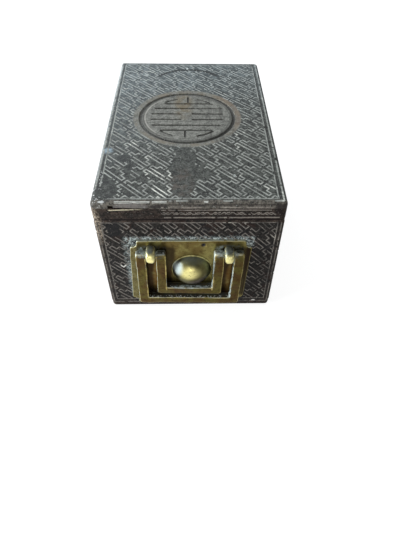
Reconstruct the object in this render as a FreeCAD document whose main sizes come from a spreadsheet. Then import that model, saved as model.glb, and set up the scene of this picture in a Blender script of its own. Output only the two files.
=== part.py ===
"""Hardwood box for an ink stone and an ink stick, with a lift-off lid and a brass bail at each end.

Frame: origin on the resting plane at the middle of the box, +X to the right seen from the
front bail, +Y towards the back bail, +Z up. All sizes are millimetres.
"""
import FreeCAD, Part
import os
import re
import Sketcher

Vector = FreeCAD.Vector

# ---------------------------------------------------------------- driving dimensions
SIZES = [
    # carcass: four mitred boards round a panelled base
    ("body_width", 99.8, "outside of the carcass, left to right"),
    ("body_length", 159.2, "outside of the carcass, front to back"),
    ("body_height", 73.9, "resting plane to the seam under the lid"),
    ("wall", 7.0, "thickness of the carcass boards"),
    ("body_corner", 2.4, "rounding of the upright corners"),
    ("foot_round", 1.8, "rounding of the bottom edges"),
    ("seam_break", 0.4, "chamfer each side of the seam"),
    ("base_thick", 6.0, "base board"),
    ("groove_depth", 2.5, "reach of the base board's tongue into the walls"),
    ("tongue_thick", 2.4, "thickness of that tongue"),
    ("tongue_height", 2.0, "resting plane to the underside of the tongue"),
    # lip that keeps the lid in place
    ("lip_thick", 2.5, "lip strips inside the walls"),
    ("lip_clear", 1.9, "gap between the clinched tails and the lip above them"),
    ("lip_rise", 3.5, "reach of the lip above the seam"),
    ("lid_play", 0.3, "gap between the lip and the lid rails"),
    # lid: four mitred rails under a panel
    ("lid_overhang", 0.1, "lid beyond the carcass on every side"),
    ("rail_height", 7.4, "lid rails"),
    ("panel_thick", 3.4, "lid panel at its edge"),
    ("panel_round", 2.3, "rounding of the panel's top edge"),
    ("lid_corner", 2.6, "rounding of the lid's upright corners"),
    ("field_thick", 1.1, "raised field under the panel"),
    ("field_play", 0.2, "gap between the field and the rails"),
    # round barred medallion cut into the panel
    ("medal_back", 3.2, "centre of the medallion behind the middle of the lid"),
    ("medal_left", 1.5, "centre of the medallion left of the middle of the lid"),
    ("medal_radius", 28.9, "middle of the ring groove"),
    ("medal_ring", 2.0, "width of the ring groove"),
    ("medal_cut", 0.7, "depth of all the grooves"),
    ("medal_bar", 1.1, "width of a bar groove"),
    ("medal_pitch", 6.4, "spacing of the bar grooves"),
    ("medal_gap", 3.6, "half of the break in the two middle bars"),
    # brass fitting on each end
    ("plate_width", 68.8, "back plate"),
    ("plate_height", 54.0, "back plate"),
    ("plate_low", 5.4, "resting plane to the lower edge of the plate"),
    ("plate_thick", 1.3, "back plate"),
    ("notch_width", 3.6, "step cut from each corner of the plate"),
    ("notch_height", 4.6, "step cut from each corner of the plate"),
    ("notch_round", 1.0, "softening of those steps"),
    ("plate_break", 0.4, "chamfer round the front of the plate"),
    ("boss_radius", 11.4, "domed boss"),
    ("boss_rise", 7.7, "height of the dome above the plate"),
    ("boss_height", 36.8, "resting plane to the middle of the boss"),
    ("shank_radius", 2.0, "rivet shank of the boss"),
    ("rove_radius", 5.0, "washer that the shank is riveted over"),
    ("rove_thick", 1.2, "that washer"),
    ("peen_radius", 3.0, "spread end of the shank"),
    ("peen_rise", 0.8, "spread end of the shank"),
    # split pins that carry the bail
    ("pivot_height", 52.0, "resting plane to the bail's pivot"),
    ("pivot_out", 4.4, "pivot in front of the board"),
    ("pin_radius", 2.0, "round neck of the bail in the eye"),
    ("pin_play", 0.06, "radial clearance of the neck in the eye"),
    ("eye_radius", 4.9, "outside of the split pin's eye"),
    ("eye_round", 1.5, "softening of the eye"),
    ("post_width", 5.1, "width of the split pin"),
    ("post_neck", 4.6, "height of the pin between eye and plate"),
    ("leg_radius", 2.1, "the two legs together, through the board"),
    ("tail_reach", 8.0, "clinched tails above and below the legs"),
    ("tail_thick", 1.4, "clinched tails"),
    # bail: two square-section loops joined by the necks
    ("bail_width", 59.8, "outside of the outer loop"),
    ("bail_thick", 4.4, "section, front to back"),
    ("outer_arm", 5.6, "arm of the outer loop"),
    ("arm_gap", 5.5, "gap between the loops, where the pin sits"),
    ("inner_arm", 5.5, "arm of the inner loop"),
    ("arm_top", 2.2, "end of the arms above the pivot"),
    ("outer_drop", 40.7, "pivot to the lower edge of the outer loop"),
    ("outer_bar", 4.9, "lower bar of the outer loop"),
    ("inner_drop", 31.7, "pivot to the lower edge of the inner loop"),
    ("inner_bar", 5.3, "lower bar of the inner loop"),
    ("bail_corner", 2.2, "rounding of the loop's lower corners"),
    ("arm_round", 1.3, "rounding of the arm ends"),
    # fitted inside
    ("bed_thick", 9.0, "stone bed"),
    ("bed_play", 0.2, "gap between the bed and the walls"),
    ("bed_recess", 5.0, "depth of the recess for the stone"),
    ("stone_width", 68.0, "ink stone"),
    ("stone_length", 116.0, "ink stone"),
    ("stone_thick", 22.0, "ink stone"),
    ("stone_play", 0.5, "gap round the stone in its recess"),
    ("stone_corner", 4.0, "rounding of the stone's corners"),
    ("stone_rim", 6.0, "rim round the rubbing face"),
    ("rubbing_cut", 2.0, "depth of the rubbing face below the rim"),
    ("well_length", 24.0, "ink well at the back of the stone"),
    ("well_cut", 9.0, "depth of the ink well below the rim"),
    ("ledge_section", 5.0, "ledges that carry the tray"),
    ("ledge_length", 120.0, "ledges that carry the tray"),
    ("tray_base", 45.0, "resting plane to the underside of the tray"),
    ("tray_height", 24.0, "tray"),
    ("tray_play", 0.5, "gap between the tray and the lip"),
    ("tray_wall", 3.5, "tray sides and divider"),
    ("tray_floor", 4.0, "tray floor under the deep compartment"),
    ("stick_width", 20.0, "ink stick"),
    ("stick_length", 88.0, "ink stick"),
    ("stick_thick", 10.0, "ink stick"),
    ("stick_round", 1.2, "softening of the stick's edges"),
    ("stick_play", 1.0, "gap round the stick in its trough"),
    ("trough_cut", 14.0, "depth of the stick's trough"),
]
ALIASES = {alias for alias, number, note in SIZES}

# lengths that several pieces share, as expressions in the cells above
INNER_WIDTH = "(body_width - 2 * wall)"
INNER_LENGTH = "(body_length - 2 * wall)"
LID_WIDTH = "(body_width + 2 * lid_overhang)"
LID_LENGTH = "(body_length + 2 * lid_overhang)"
RAIL_THICK = "(wall + lid_overhang - lid_play)"
LID_ARRIS = "(body_height + rail_height)"
LIP_LOW = "(pivot_height + tail_reach + lip_clear)"
LIP_HEIGHT = f"(body_height + lip_rise - {LIP_LOW})"
PLATE_FRONT = "(body_length / 2 + plate_thick)"
POST_X = "(bail_width / 2 - outer_arm - arm_gap / 2)"
BED_TOP = "(base_thick + bed_thick)"
TRAY_WIDTH = f"({INNER_WIDTH} - 2 * lip_thick - 2 * tray_play)"
TRAY_LENGTH = f"({INNER_LENGTH} - 2 * lip_thick - 2 * tray_play)"
TROUGH_WIDTH = "(stick_width + 2 * stick_play)"
TROUGH_LENGTH = "(stick_length + 2 * stick_play)"
TROUGH_X = f"(-{TRAY_WIDTH} / 2 + tray_wall + {TROUGH_WIDTH} / 2)"
TROUGH_FLOOR = "(tray_base + tray_height - trough_cut)"

doc = FreeCAD.newDocument("InkBox")
sheet = doc.addObject("Spreadsheet::Sheet", "Sizes")
for row, (alias, number, note) in enumerate(SIZES, start=1):
    sheet.set(f"A{row}", note)
    sheet.set(f"B{row}", str(number))
    sheet.setAlias(f"B{row}", alias)
doc.recompute()


def bound(text):
    """The expression with each alias written as a cell of the sheet."""
    return re.sub(r"[a-z]\w*", lambda word: "Sizes." + word[0] if word[0] in ALIASES else word[0], str(text))


def value(text):
    """The expression's number at the sheet's present values."""
    return float(sheet.evalExpression(bound(text)))


# ---------------------------------------------------------------- tools for making pieces
def new_body(label):
    body = doc.addObject("PartDesign::Body", label)
    body.Label = label
    return body


def new_sketch(body, role, offset="0 * wall"):
    """A sketch on one of the body's origin planes, moved along the plane's normal."""
    plane = next(item for item in body.Origin.OriginFeatures if item.Role == role)
    sketch = body.newObject("Sketcher::SketchObject", body.Name + "_sketch")
    sketch.AttachmentSupport = [(plane, "")]
    sketch.MapMode = "FlatFace"
    sketch.setExpression("AttachmentOffset.Base.z", bound(offset))
    return sketch


def pin_point(sketch, geometry, point, across, up):
    """Place a point of the sketch by two distances from the sketch's origin."""
    for kind, text in (("DistanceX", across), ("DistanceY", up)):
        index = sketch.addConstraint(Sketcher.Constraint(kind, -1, 1, geometry, point, value(text)))
        sketch.setExpression(f"Constraints[{index}]", bound(text))


def outline(sketch, corners):
    """A closed outline of straight lines through the corners."""
    first = sketch.GeometryCount
    points = [Vector(value(across), value(up), 0) for across, up in corners]
    for start, end in zip(points, points[1:] + points[:1]):
        sketch.addGeometry(Part.LineSegment(start, end), False)
    for i, (across, up) in enumerate(corners):
        after = first + (i + 1) % len(corners)
        sketch.addConstraint(Sketcher.Constraint("Coincident", first + i, 2, after, 1))
        pin_point(sketch, first + i, 1, across, up)


def rectangle(sketch, width, height, across="0 * wall", up="0 * wall"):
    """A rectangle about a centre."""
    left, right = f"({across}) - ({width}) / 2", f"({across}) + ({width}) / 2"
    low, high = f"({up}) - ({height}) / 2", f"({up}) + ({height}) / 2"
    outline(sketch, [(left, low), (right, low), (right, high), (left, high)])


def circle(sketch, radius, across="0 * wall", up="0 * wall"):
    centre = Vector(value(across), value(up), 0)
    geometry = sketch.addGeometry(Part.Circle(centre, Vector(0, 0, 1), value(radius)), False)
    pin_point(sketch, geometry, 3, across, up)
    index = sketch.addConstraint(Sketcher.Constraint("Radius", geometry, value(radius)))
    sketch.setExpression(f"Constraints[{index}]", bound(radius))


def pad(body, sketch, length, both_ways=False, backwards=False):
    feature = body.newObject("PartDesign::Pad", body.Name + "_pad")
    feature.Profile = sketch
    feature.setExpression("Length", bound(length))
    feature.Midplane = both_ways
    feature.Reversed = backwards
    doc.recompute()
    return feature


def pocket(body, sketch, length, both_ways=False):
    """Cut away from the side that the sketch's normal points to."""
    before = body.Shape.Volume
    feature = body.newObject("PartDesign::Pocket", body.Name + "_pocket")
    feature.Profile = sketch
    feature.setExpression("Length", bound(length))
    feature.Midplane = both_ways
    doc.recompute()
    if not body.Shape.Volume < before:
        raise ValueError(f"a pocket of {body.Label} cut nothing")
    return feature


def ease(body, kind, size, chosen):
    """Round (Fillet) or bevel (Chamfer) the edges of the body that the test picks."""
    names = [f"Edge{i}" for i, edge in enumerate(body.Shape.Edges, start=1) if chosen(edge)]
    if not names:
        raise ValueError(f"no edge of {body.Label} to ease")
    before = body.Tip
    feature = body.newObject("PartDesign::" + kind, body.Name + "_" + kind.lower())
    feature.Base = (before, names)
    feature.setExpression("Radius" if kind == "Fillet" else "Size", bound(size))
    doc.recompute()
    return feature


def along(edge, axis):
    """True for a straight edge that runs along one of the axes x, y or z."""
    if edge.Curve.TypeId != "Part::GeomLine":
        return False
    return abs(getattr(edge.Curve.Direction, axis)) > 0.999


def level(edge, axis, text):
    """True for an edge that lies wholly at one coordinate."""
    box, place = edge.BoundBox, value(text)
    low, high = getattr(box, axis.upper() + "Min"), getattr(box, axis.upper() + "Max")
    return abs(low - place) < 1e-4 and abs(high - place) < 1e-4


def block(label, centre, size):
    """A plain strip, placed by its middle across and its underside: centre and size as (x, y, z)."""
    box = doc.addObject("Part::Box", label)
    box.Label = label
    for prop, text in zip(("Length", "Width", "Height"), size):
        box.setExpression(prop, bound(text))
    for axis, place, extent in zip("xy", centre, size):
        box.setExpression(f"Placement.Base.{axis}", bound(f"({place}) - ({extent}) / 2"))
    box.setExpression("Placement.Base.z", bound(centre[2]))
    return box


def combine(label, kind, base, tool):
    """A Part boolean, Cut or Common, of two objects."""
    result = doc.addObject("Part::" + kind, label)
    result.Label = label
    result.Base = base
    result.Tool = tool
    doc.recompute()
    return result


def turned(body, degrees):
    """Turn a finished piece about the box's upright axis."""
    body.Placement = FreeCAD.Placement(Vector(0, 0, 0), FreeCAD.Rotation(Vector(0, 0, 1), degrees))
    return body


# ---------------------------------------------------------------- carcass and lid frame
SIDES = (("front", 0), ("right", 90), ("back", 180), ("left", 270))


def eased_block(label, width, length, low, height, corner):
    """The glued-up outside, from which each mitred piece takes its rounded edges."""
    body = new_body(label)
    sketch = new_sketch(body, "XY_Plane", low)
    rectangle(sketch, width, length)
    pad(body, sketch, height)
    ease(body, "Fillet", corner, lambda edge: along(edge, "z"))
    return body


def mitred(label, run, across, thick, low, height):
    """One mitred piece of a frame, lying along the front."""
    body = new_body(label)
    sketch = new_sketch(body, "XY_Plane", low)
    near, inner = f"-({across}) / 2", f"-({across}) / 2 + {thick}"
    outline(sketch, [
        (f"-({run}) / 2", near),
        (f"({run}) / 2", near),
        (f"({run}) / 2 - {thick}", inner),
        (f"-({run}) / 2 + {thick}", inner),
    ])
    pad(body, sketch, height)
    return body


def make_carcass():
    """Four mitred boards, grooved for the base, the two end boards bored for the fittings."""
    outside = eased_block("carcass_outside", "body_width", "body_length", "0 * wall", "body_height", "body_corner")
    ease(outside, "Fillet", "foot_round", lambda edge: level(edge, "z", "0 * wall"))
    ease(outside, "Chamfer", "seam_break", lambda edge: level(edge, "z", "body_height"))
    pieces = []
    for side, turn in SIDES:
        run, across = ("body_width", "body_length") if turn % 180 == 0 else ("body_length", "body_width")
        blank = mitred(f"{side}_blank", run, across, "wall", "0 * wall", "body_height")
        groove = new_sketch(blank, "XY_Plane", "tongue_height + tongue_thick")
        rectangle(groove, f"{run} - 2 * wall + 2 * groove_depth", "2 * groove_depth",
                  up=f"-({across}) / 2 + wall")
        pocket(blank, groove, "tongue_thick")
        if turn % 180 == 0:
            holes = new_sketch(blank, "XZ_Plane", "body_length / 2")
            circle(holes, "shank_radius", up="boss_height")
            circle(holes, "leg_radius", across=POST_X, up="pivot_height")
            circle(holes, "leg_radius", across=f"-{POST_X}", up="pivot_height")
            pocket(blank, holes, "wall")
        turned(blank, turn)
        pieces.append(combine(f"{side}_board", "Common", blank, outside))
    return pieces


def make_base():
    """Base board with a tongue all round, let into the walls."""
    body = new_body("base_board")
    core = new_sketch(body, "XY_Plane")
    rectangle(core, INNER_WIDTH, INNER_LENGTH)
    pad(body, core, "base_thick")
    tongue = new_sketch(body, "XY_Plane", "tongue_height")
    rectangle(tongue, f"{INNER_WIDTH} + 2 * groove_depth", f"{INNER_LENGTH} + 2 * groove_depth")
    pad(body, tongue, "tongue_thick")
    return body


def make_lips():
    """Four strips inside the walls that stand above the seam."""
    low = LIP_LOW
    side_x = f"({INNER_WIDTH} - lip_thick) / 2"
    end_y = f"({INNER_LENGTH} - lip_thick) / 2"
    end_size = (f"{INNER_WIDTH} - 2 * lip_thick", "lip_thick", LIP_HEIGHT)
    side_size = ("lip_thick", INNER_LENGTH, LIP_HEIGHT)
    return [
        block("front_lip", ("0 * wall", f"-{end_y}", low), end_size),
        block("back_lip", ("0 * wall", end_y, low), end_size),
        block("left_lip", (f"-{side_x}", "0 * wall", low), side_size),
        block("right_lip", (side_x, "0 * wall", low), side_size),
    ]


def make_lid():
    """Lid rails and the panel glued over them."""
    outside = eased_block("rail_outside", LID_WIDTH, LID_LENGTH, "body_height", "rail_height", "lid_corner")
    ease(outside, "Chamfer", "seam_break", lambda edge: level(edge, "z", "body_height"))
    pieces = []
    for side, turn in SIDES:
        run, across = (LID_WIDTH, LID_LENGTH) if turn % 180 == 0 else (LID_LENGTH, LID_WIDTH)
        blank = mitred(f"{side}_rail_blank", run, across, RAIL_THICK, "body_height", "rail_height")
        turned(blank, turn)
        pieces.append(combine(f"lid_{side}_rail", "Common", blank, outside))
    pieces.append(make_panel())
    return pieces


def make_panel():
    """Lid panel: rounded top edge, raised field below, barred medallion cut in above."""
    top = f"({LID_ARRIS} + panel_thick)"
    body = eased_block("lid_panel", LID_WIDTH, LID_LENGTH, LID_ARRIS, "panel_thick", "lid_corner")
    ease(body, "Fillet", "panel_round", lambda edge: level(edge, "z", top))
    field = new_sketch(body, "XY_Plane", LID_ARRIS)
    rectangle(field, f"{LID_WIDTH} - 2 * {RAIL_THICK} - 2 * field_play",
              f"{LID_LENGTH} - 2 * {RAIL_THICK} - 2 * field_play")
    pad(body, field, "field_thick", backwards=True)
    ring = new_sketch(body, "XY_Plane", top)
    circle(ring, "medal_radius + medal_ring / 2", across="-medal_left", up="medal_back")
    circle(ring, "medal_radius - medal_ring / 2", across="-medal_left", up="medal_back")
    pocket(body, ring, "medal_cut")
    bars = new_sketch(body, "XY_Plane", top)
    for step, share in ((2.5, 0.5), (1.5, 0.75), (-1.5, 0.75), (-2.5, 0.5)):
        rectangle(bars, f"2 * {share} * medal_radius", "medal_bar",
                  across="-medal_left", up=f"medal_back + {step} * medal_pitch")
    for step in (0.5, -0.5):
        for hand in (1, -1):
            rectangle(bars, "0.8 * medal_radius - medal_gap", "medal_bar",
                      across=f"{hand} * (0.8 * medal_radius + medal_gap) / 2 - medal_left",
                      up=f"medal_back + {step} * medal_pitch")
    pocket(body, bars, "medal_cut")
    return body


# ---------------------------------------------------------------- brass fittings
def make_plate(end):
    """Back plate with stepped corners."""
    body = new_body(f"{end}_plate")
    sketch = new_sketch(body, "XZ_Plane", "body_length / 2")
    wide, narrow = "plate_width / 2", "(plate_width / 2 - notch_width)"
    low, high = "plate_low", "(plate_low + plate_height)"
    low_step, high_step = "(plate_low + notch_height)", f"({high} - notch_height)"
    outline(sketch, [
        (f"-{narrow}", low), (narrow, low), (narrow, low_step),
        (wide, low_step), (wide, high_step), (narrow, high_step),
        (narrow, high), (f"-{narrow}", high), (f"-{narrow}", high_step),
        (f"-{wide}", high_step), (f"-{wide}", low_step), (f"-{narrow}", low_step),
    ])
    pad(body, sketch, "plate_thick")
    ease(body, "Fillet", "notch_round", lambda edge: along(edge, "y"))
    ease(body, "Chamfer", "plate_break", lambda edge: level(edge, "y", f"-{PLATE_FRONT}"))
    holes = new_sketch(body, "XZ_Plane", PLATE_FRONT)
    circle(holes, "shank_radius", up="boss_height")
    circle(holes, "leg_radius", across=POST_X, up="pivot_height")
    circle(holes, "leg_radius", across=f"-{POST_X}", up="pivot_height")
    pocket(body, holes, "plate_thick")
    return body


def make_boss(end):
    """Domed boss on a rivet shank, spread over its washer inside the board."""
    ball = "((boss_radius * boss_radius + boss_rise * boss_rise) / (2 * boss_rise))"
    dome = doc.addObject("Part::Sphere", f"{end}_dome")
    dome.setExpression("Radius", bound(ball))
    dome.setExpression("Angle1", bound(f"asin(({ball} - boss_rise) / {ball})"))
    dome.Angle2 = 90
    facing_out = FreeCAD.Rotation(Vector(1, 0, 0), 90)
    dome.Placement = FreeCAD.Placement(Vector(0, 0, 0), facing_out)
    dome.setExpression("Placement.Base.y", bound(f"-{PLATE_FRONT} - boss_rise + {ball}"))
    dome.setExpression("Placement.Base.z", bound("boss_height"))
    shank = doc.addObject("Part::Cylinder", f"{end}_shank")
    shank.setExpression("Radius", bound("shank_radius"))
    shank.setExpression("Height", bound("plate_thick + wall + rove_thick"))
    peen = doc.addObject("Part::Cone", f"{end}_peen")
    peen.setExpression("Radius1", bound("peen_radius"))
    peen.setExpression("Radius2", bound("shank_radius"))
    peen.setExpression("Height", bound("peen_rise"))
    for piece, start in ((shank, "-body_length / 2 + wall + rove_thick"),
                         (peen, "-body_length / 2 + wall + rove_thick + peen_rise")):
        piece.Placement = FreeCAD.Placement(Vector(0, 0, 0), facing_out)
        piece.setExpression("Placement.Base.y", bound(start))
        piece.setExpression("Placement.Base.z", bound("boss_height"))
    boss = doc.addObject("Part::MultiFuse", f"{end}_boss")
    boss.Label = f"{end}_boss"
    boss.Shapes = [dome, shank, peen]
    return boss


def make_rove(end):
    """Washer inside the board, under the spread end of the shank."""
    body = new_body(f"{end}_rove")
    sketch = new_sketch(body, "XZ_Plane", "body_length / 2 - wall")
    circle(sketch, "rove_radius", up="boss_height")
    circle(sketch, "shank_radius", up="boss_height")
    pad(body, sketch, "rove_thick", backwards=True)
    return body


def make_post(end, hand, name):
    """Split pin: eye flat against the plate, legs through the board, tails clinched up and down inside."""
    body = new_body(f"{end}_{name}_post")
    middle = f"{hand} * {POST_X}"
    pivot_y = "-(body_length / 2 + pivot_out)"
    eye = new_sketch(body, "YZ_Plane", middle)
    circle(eye, "eye_radius", across=pivot_y, up="pivot_height")
    pad(body, eye, "post_width", both_ways=True)
    ease(body, "Fillet", "eye_round", lambda edge: edge.Curve.TypeId == "Part::GeomCircle")
    seat = new_sketch(body, "XZ_Plane", PLATE_FRONT)
    rectangle(seat, "2 * post_width", "3 * eye_radius", across=middle, up="pivot_height")
    pocket(body, seat, "2 * eye_radius")
    neck = new_sketch(body, "YZ_Plane", middle)
    rectangle(neck, "pivot_out - plate_thick", "post_neck",
              across=f"{pivot_y} + (pivot_out - plate_thick) / 2", up="pivot_height")
    pad(body, neck, "post_width - 2 * eye_round", both_ways=True)
    legs = new_sketch(body, "XZ_Plane", PLATE_FRONT)
    circle(legs, "leg_radius", across=middle, up="pivot_height")
    pad(body, legs, "plate_thick + wall", backwards=True)
    tails = new_sketch(body, "XZ_Plane", "body_length / 2 - wall")
    rectangle(tails, "2 * leg_radius", "2 * tail_reach", across=middle, up="pivot_height")
    pad(body, tails, "tail_thick", backwards=True)
    bore = new_sketch(body, "YZ_Plane", middle)
    circle(bore, "pin_radius + pin_play", across=pivot_y, up="pivot_height")
    pocket(body, bore, "2 * post_width", both_ways=True)
    return body


def make_bail(end):
    """Two square-section loops, one inside the other, joined by the round necks in the eyes."""
    body = new_body(f"{end}_bail")
    sketch = new_sketch(body, "XZ_Plane", "body_length / 2 + pivot_out")
    top = "(pivot_height + arm_top)"
    loops = (
        ("(bail_width / 2)", "outer_arm", "outer_drop", "outer_bar"),
        ("(bail_width / 2 - outer_arm - arm_gap)", "inner_arm", "inner_drop", "inner_bar"),
    )
    for half, arm, drop, bar in loops:
        low, inside = f"(pivot_height - {drop})", f"({half} - {arm})"
        outline(sketch, [
            (f"-{half}", low), (half, low), (half, top), (inside, top),
            (inside, f"{low} + {bar}"), (f"-{inside}", f"{low} + {bar}"),
            (f"-{inside}", top), (f"-{half}", top),
        ])
    pad(body, sketch, "bail_thick", both_ways=True)
    lowest = "(pivot_height - outer_drop)"
    ease(body, "Fillet", "bail_corner",
         lambda edge: along(edge, "y") and level(edge, "z", lowest))
    ease(body, "Fillet", "arm_round",
         lambda edge: along(edge, "x") and level(edge, "z", top))
    for hand in (1, -1):
        neck = new_sketch(body, "YZ_Plane", f"{hand} * {POST_X}")
        circle(neck, "pin_radius", across="-(body_length / 2 + pivot_out)", up="pivot_height")
        pad(body, neck, "arm_gap + bail_corner", both_ways=True)
    return body


def make_fitting(end, turn):
    """The whole brass fitting of one end; the back one is the front one turned half round."""
    fixed = [make_plate(end), make_boss(end), make_rove(end), make_post(end, -1, "left"), make_post(end, 1, "right")]
    pieces = fixed + [make_bail(end)]
    for piece in pieces:
        turned(piece, turn)
    return pieces


# ---------------------------------------------------------------- fitted inside and contents
def make_bed():
    """Board on the base with a recess that locates the ink stone."""
    body = new_body("stone_bed")
    sketch = new_sketch(body, "XY_Plane", "base_thick")
    rectangle(sketch, f"{INNER_WIDTH} - 2 * bed_play", f"{INNER_LENGTH} - 2 * bed_play")
    pad(body, sketch, "bed_thick")
    recess = new_sketch(body, "XY_Plane", BED_TOP)
    rectangle(recess, "stone_width + 2 * stone_play", "stone_length + 2 * stone_play")
    pocket(body, recess, "bed_recess")
    return body


def make_ledges():
    """Strips on the side boards that carry the tray."""
    offset = f"({INNER_WIDTH} - ledge_section) / 2"
    size = ("ledge_section", "ledge_length", "ledge_section")
    low = "tray_base - ledge_section"
    return [
        block("left_ledge", (f"-{offset}", "0 * wall", low), size),
        block("right_ledge", (offset, "0 * wall", low), size),
    ]


def make_tray():
    """Lift-out tray: a trough fitted to the ink stick and an open compartment beside it."""
    body = new_body("tray")
    sketch = new_sketch(body, "XY_Plane", "tray_base")
    rectangle(sketch, TRAY_WIDTH, TRAY_LENGTH)
    pad(body, sketch, "tray_height")
    rim = "tray_base + tray_height"
    trough = new_sketch(body, "XY_Plane", rim)
    rectangle(trough, TROUGH_WIDTH, TROUGH_LENGTH, across=TROUGH_X)
    pocket(body, trough, "trough_cut")
    free = f"({TRAY_WIDTH} - {TROUGH_WIDTH} - 3 * tray_wall)"
    bay = new_sketch(body, "XY_Plane", rim)
    rectangle(bay, free, f"{TRAY_LENGTH} - 2 * tray_wall",
              across=f"{TRAY_WIDTH} / 2 - tray_wall - {free} / 2")
    pocket(body, bay, "tray_height - tray_floor")
    return body


def make_stone():
    """Ink stone with a raised rim, a flat rubbing face and a deeper well at the back."""
    body = new_body("ink_stone")
    seat = f"({BED_TOP} - bed_recess)"
    sketch = new_sketch(body, "XY_Plane", seat)
    rectangle(sketch, "stone_width", "stone_length")
    pad(body, sketch, "stone_thick")
    ease(body, "Fillet", "stone_corner", lambda edge: along(edge, "z"))
    inside_width = "(stone_width - 2 * stone_rim)"
    face = new_sketch(body, "XY_Plane", f"{seat} + stone_thick")
    rectangle(face, inside_width, "stone_length - 2 * stone_rim")
    pocket(body, face, "rubbing_cut")
    well = new_sketch(body, "XY_Plane", f"{seat} + stone_thick")
    rectangle(well, inside_width, "well_length", up="stone_length / 2 - stone_rim - well_length / 2")
    pocket(body, well, "well_cut")
    return body


def make_stick():
    """Ink stick: a plain moulded bar with softened edges."""
    body = new_body("ink_stick")
    sketch = new_sketch(body, "XY_Plane", TROUGH_FLOOR)
    rectangle(sketch, "stick_width", "stick_length", across=TROUGH_X)
    pad(body, sketch, "stick_thick")
    ease(body, "Fillet", "stick_round", lambda edge: not level(edge, "z", TROUGH_FLOOR))
    return body


# ---------------------------------------------------------------- build, check and write
def check(parts):
    """Stop if any object failed or any sub-part isn't one sound solid."""
    for item in doc.Objects:
        if "Invalid" in item.State or "Error" in item.State:
            raise ValueError(f"{item.Label} is {item.State}")
    for part in parts:
        shape = part.Shape
        if shape.isNull() or not shape.isValid() or len(shape.Solids) != 1:
            raise ValueError(f"{part.Label} isn't one sound solid")


def write(parts):
    os.makedirs("parts", exist_ok=True)
    for part in parts:
        part.Shape.exportStep(f"parts/{part.Label}.step")


def main():
    parts = make_carcass() + [make_base()] + make_lips() + make_lid()
    parts += make_fitting("front", 0) + make_fitting("back", 180)
    parts += [make_bed()] + make_ledges() + [make_tray(), make_stone(), make_stick()]
    doc.recompute()
    check(parts)
    write(parts)
    print(f"{len(parts)} sub-parts written")


main()
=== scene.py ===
from contextlib import contextmanager
from math import ceil, floor, hypot, radians, sqrt

import bmesh
import bpy
from mathutils import Matrix, Vector, noise


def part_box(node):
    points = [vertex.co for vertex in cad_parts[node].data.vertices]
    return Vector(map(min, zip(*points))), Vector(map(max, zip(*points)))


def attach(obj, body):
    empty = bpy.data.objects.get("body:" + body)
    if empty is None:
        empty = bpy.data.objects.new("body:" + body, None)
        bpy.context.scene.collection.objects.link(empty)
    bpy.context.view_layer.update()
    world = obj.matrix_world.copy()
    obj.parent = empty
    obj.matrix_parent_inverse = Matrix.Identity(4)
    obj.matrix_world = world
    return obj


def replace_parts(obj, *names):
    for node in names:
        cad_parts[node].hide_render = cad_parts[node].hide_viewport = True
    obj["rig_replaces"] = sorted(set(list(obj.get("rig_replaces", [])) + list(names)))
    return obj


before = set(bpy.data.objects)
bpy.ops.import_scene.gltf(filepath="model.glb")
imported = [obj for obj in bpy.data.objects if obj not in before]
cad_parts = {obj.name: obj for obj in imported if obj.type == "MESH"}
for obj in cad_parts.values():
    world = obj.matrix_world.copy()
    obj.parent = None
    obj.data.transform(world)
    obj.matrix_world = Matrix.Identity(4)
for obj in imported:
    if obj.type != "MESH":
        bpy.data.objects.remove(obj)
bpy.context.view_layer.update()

MM = 0.001
LID_TOP = 84.7
ALONG_X = (0, radians(90), 0)
ALONG_Y = (radians(90), 0, 0)

# the sides and how far each is turned from the front, in degrees
SIDES = {"front": 0, "right": 90, "back": 180, "left": 270}
ENDS = ("front", "back")

# ---------------------------------------------------------------- sizes in millimetres
# lid panel and the medallion cut into it
PANEL_THICK = 3.4
PANEL_ROUND = 2.3
LID_CORNER = 2.6
FIELD_HALF = 42.6
MEDAL = Vector((-1.5, 3.2))
MEDAL_RADIUS = 28.9
GROOVE_RADIUS = 1.25
GROOVE_LIFT = 0.3
MEDAL_BAND = 33.5
BAR_WIDTH = 1.7
BAR_DEPTH = 0.75
BAR_EDGE = 0.55
UPRIGHT_WIDTH = 1.4
ARC_RADIUS = 22.6
ARC_GROOVE = 0.85
ARC_LIFT = 0.1
# what is worn: the chip and the splinter at the front edge, and a round foot's mark on the lid
CHIP_LEFT, CHIP_RIGHT = -41.2, -38.2
SPLIT_LEFT, SPLIT_RIGHT = -39.5, -17.0
FOOT_MARK = Vector((-0.5, 41.5))
FOOT_RADIUS = 26.3
FOOT_LINE = 1.2
FOOT_FROM = 57.0
# inlaid wire
TOP_WIRE = 0.72
SIDE_WIRE = 0.58
WIRE_PROUD = 0.05
WIRE_SUNK = 0.04
WIRE_STEP = 1.2
LINE_OUTER = 2.0
LINE_INNER = 4.5
LINE_FRONT = 3.7
BRIGHT_LINE = -78.35
OUTER_WIRE = 0.85
BRIGHT_WIRE = 0.95
RAIL_END = 3.4
RAIL_LINES = ((0.95, 0.6), (5.95, 0.75), (-0.75, 0.95))
PLAIT_DROP = 3.2
PLAIT_WIDTH = 0.62
PLAIT_PERIOD = 4.4
SIDE_OUTER = 1.7
SIDE_INNER = 3.7
SIDE_TOP = 2.2
SIDE_FOOT = 7.2
SIDE_GAP = 2.8
FITTING_HALF, FITTING_FOOT, FITTING_TOP = 33.0, 6.0, 58.6
TOP_PITCH = 12.7
TOP_START = (-35.7, -73.6)
END_PITCH = 12.6
END_START = (-33.3, 16.9)
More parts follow.
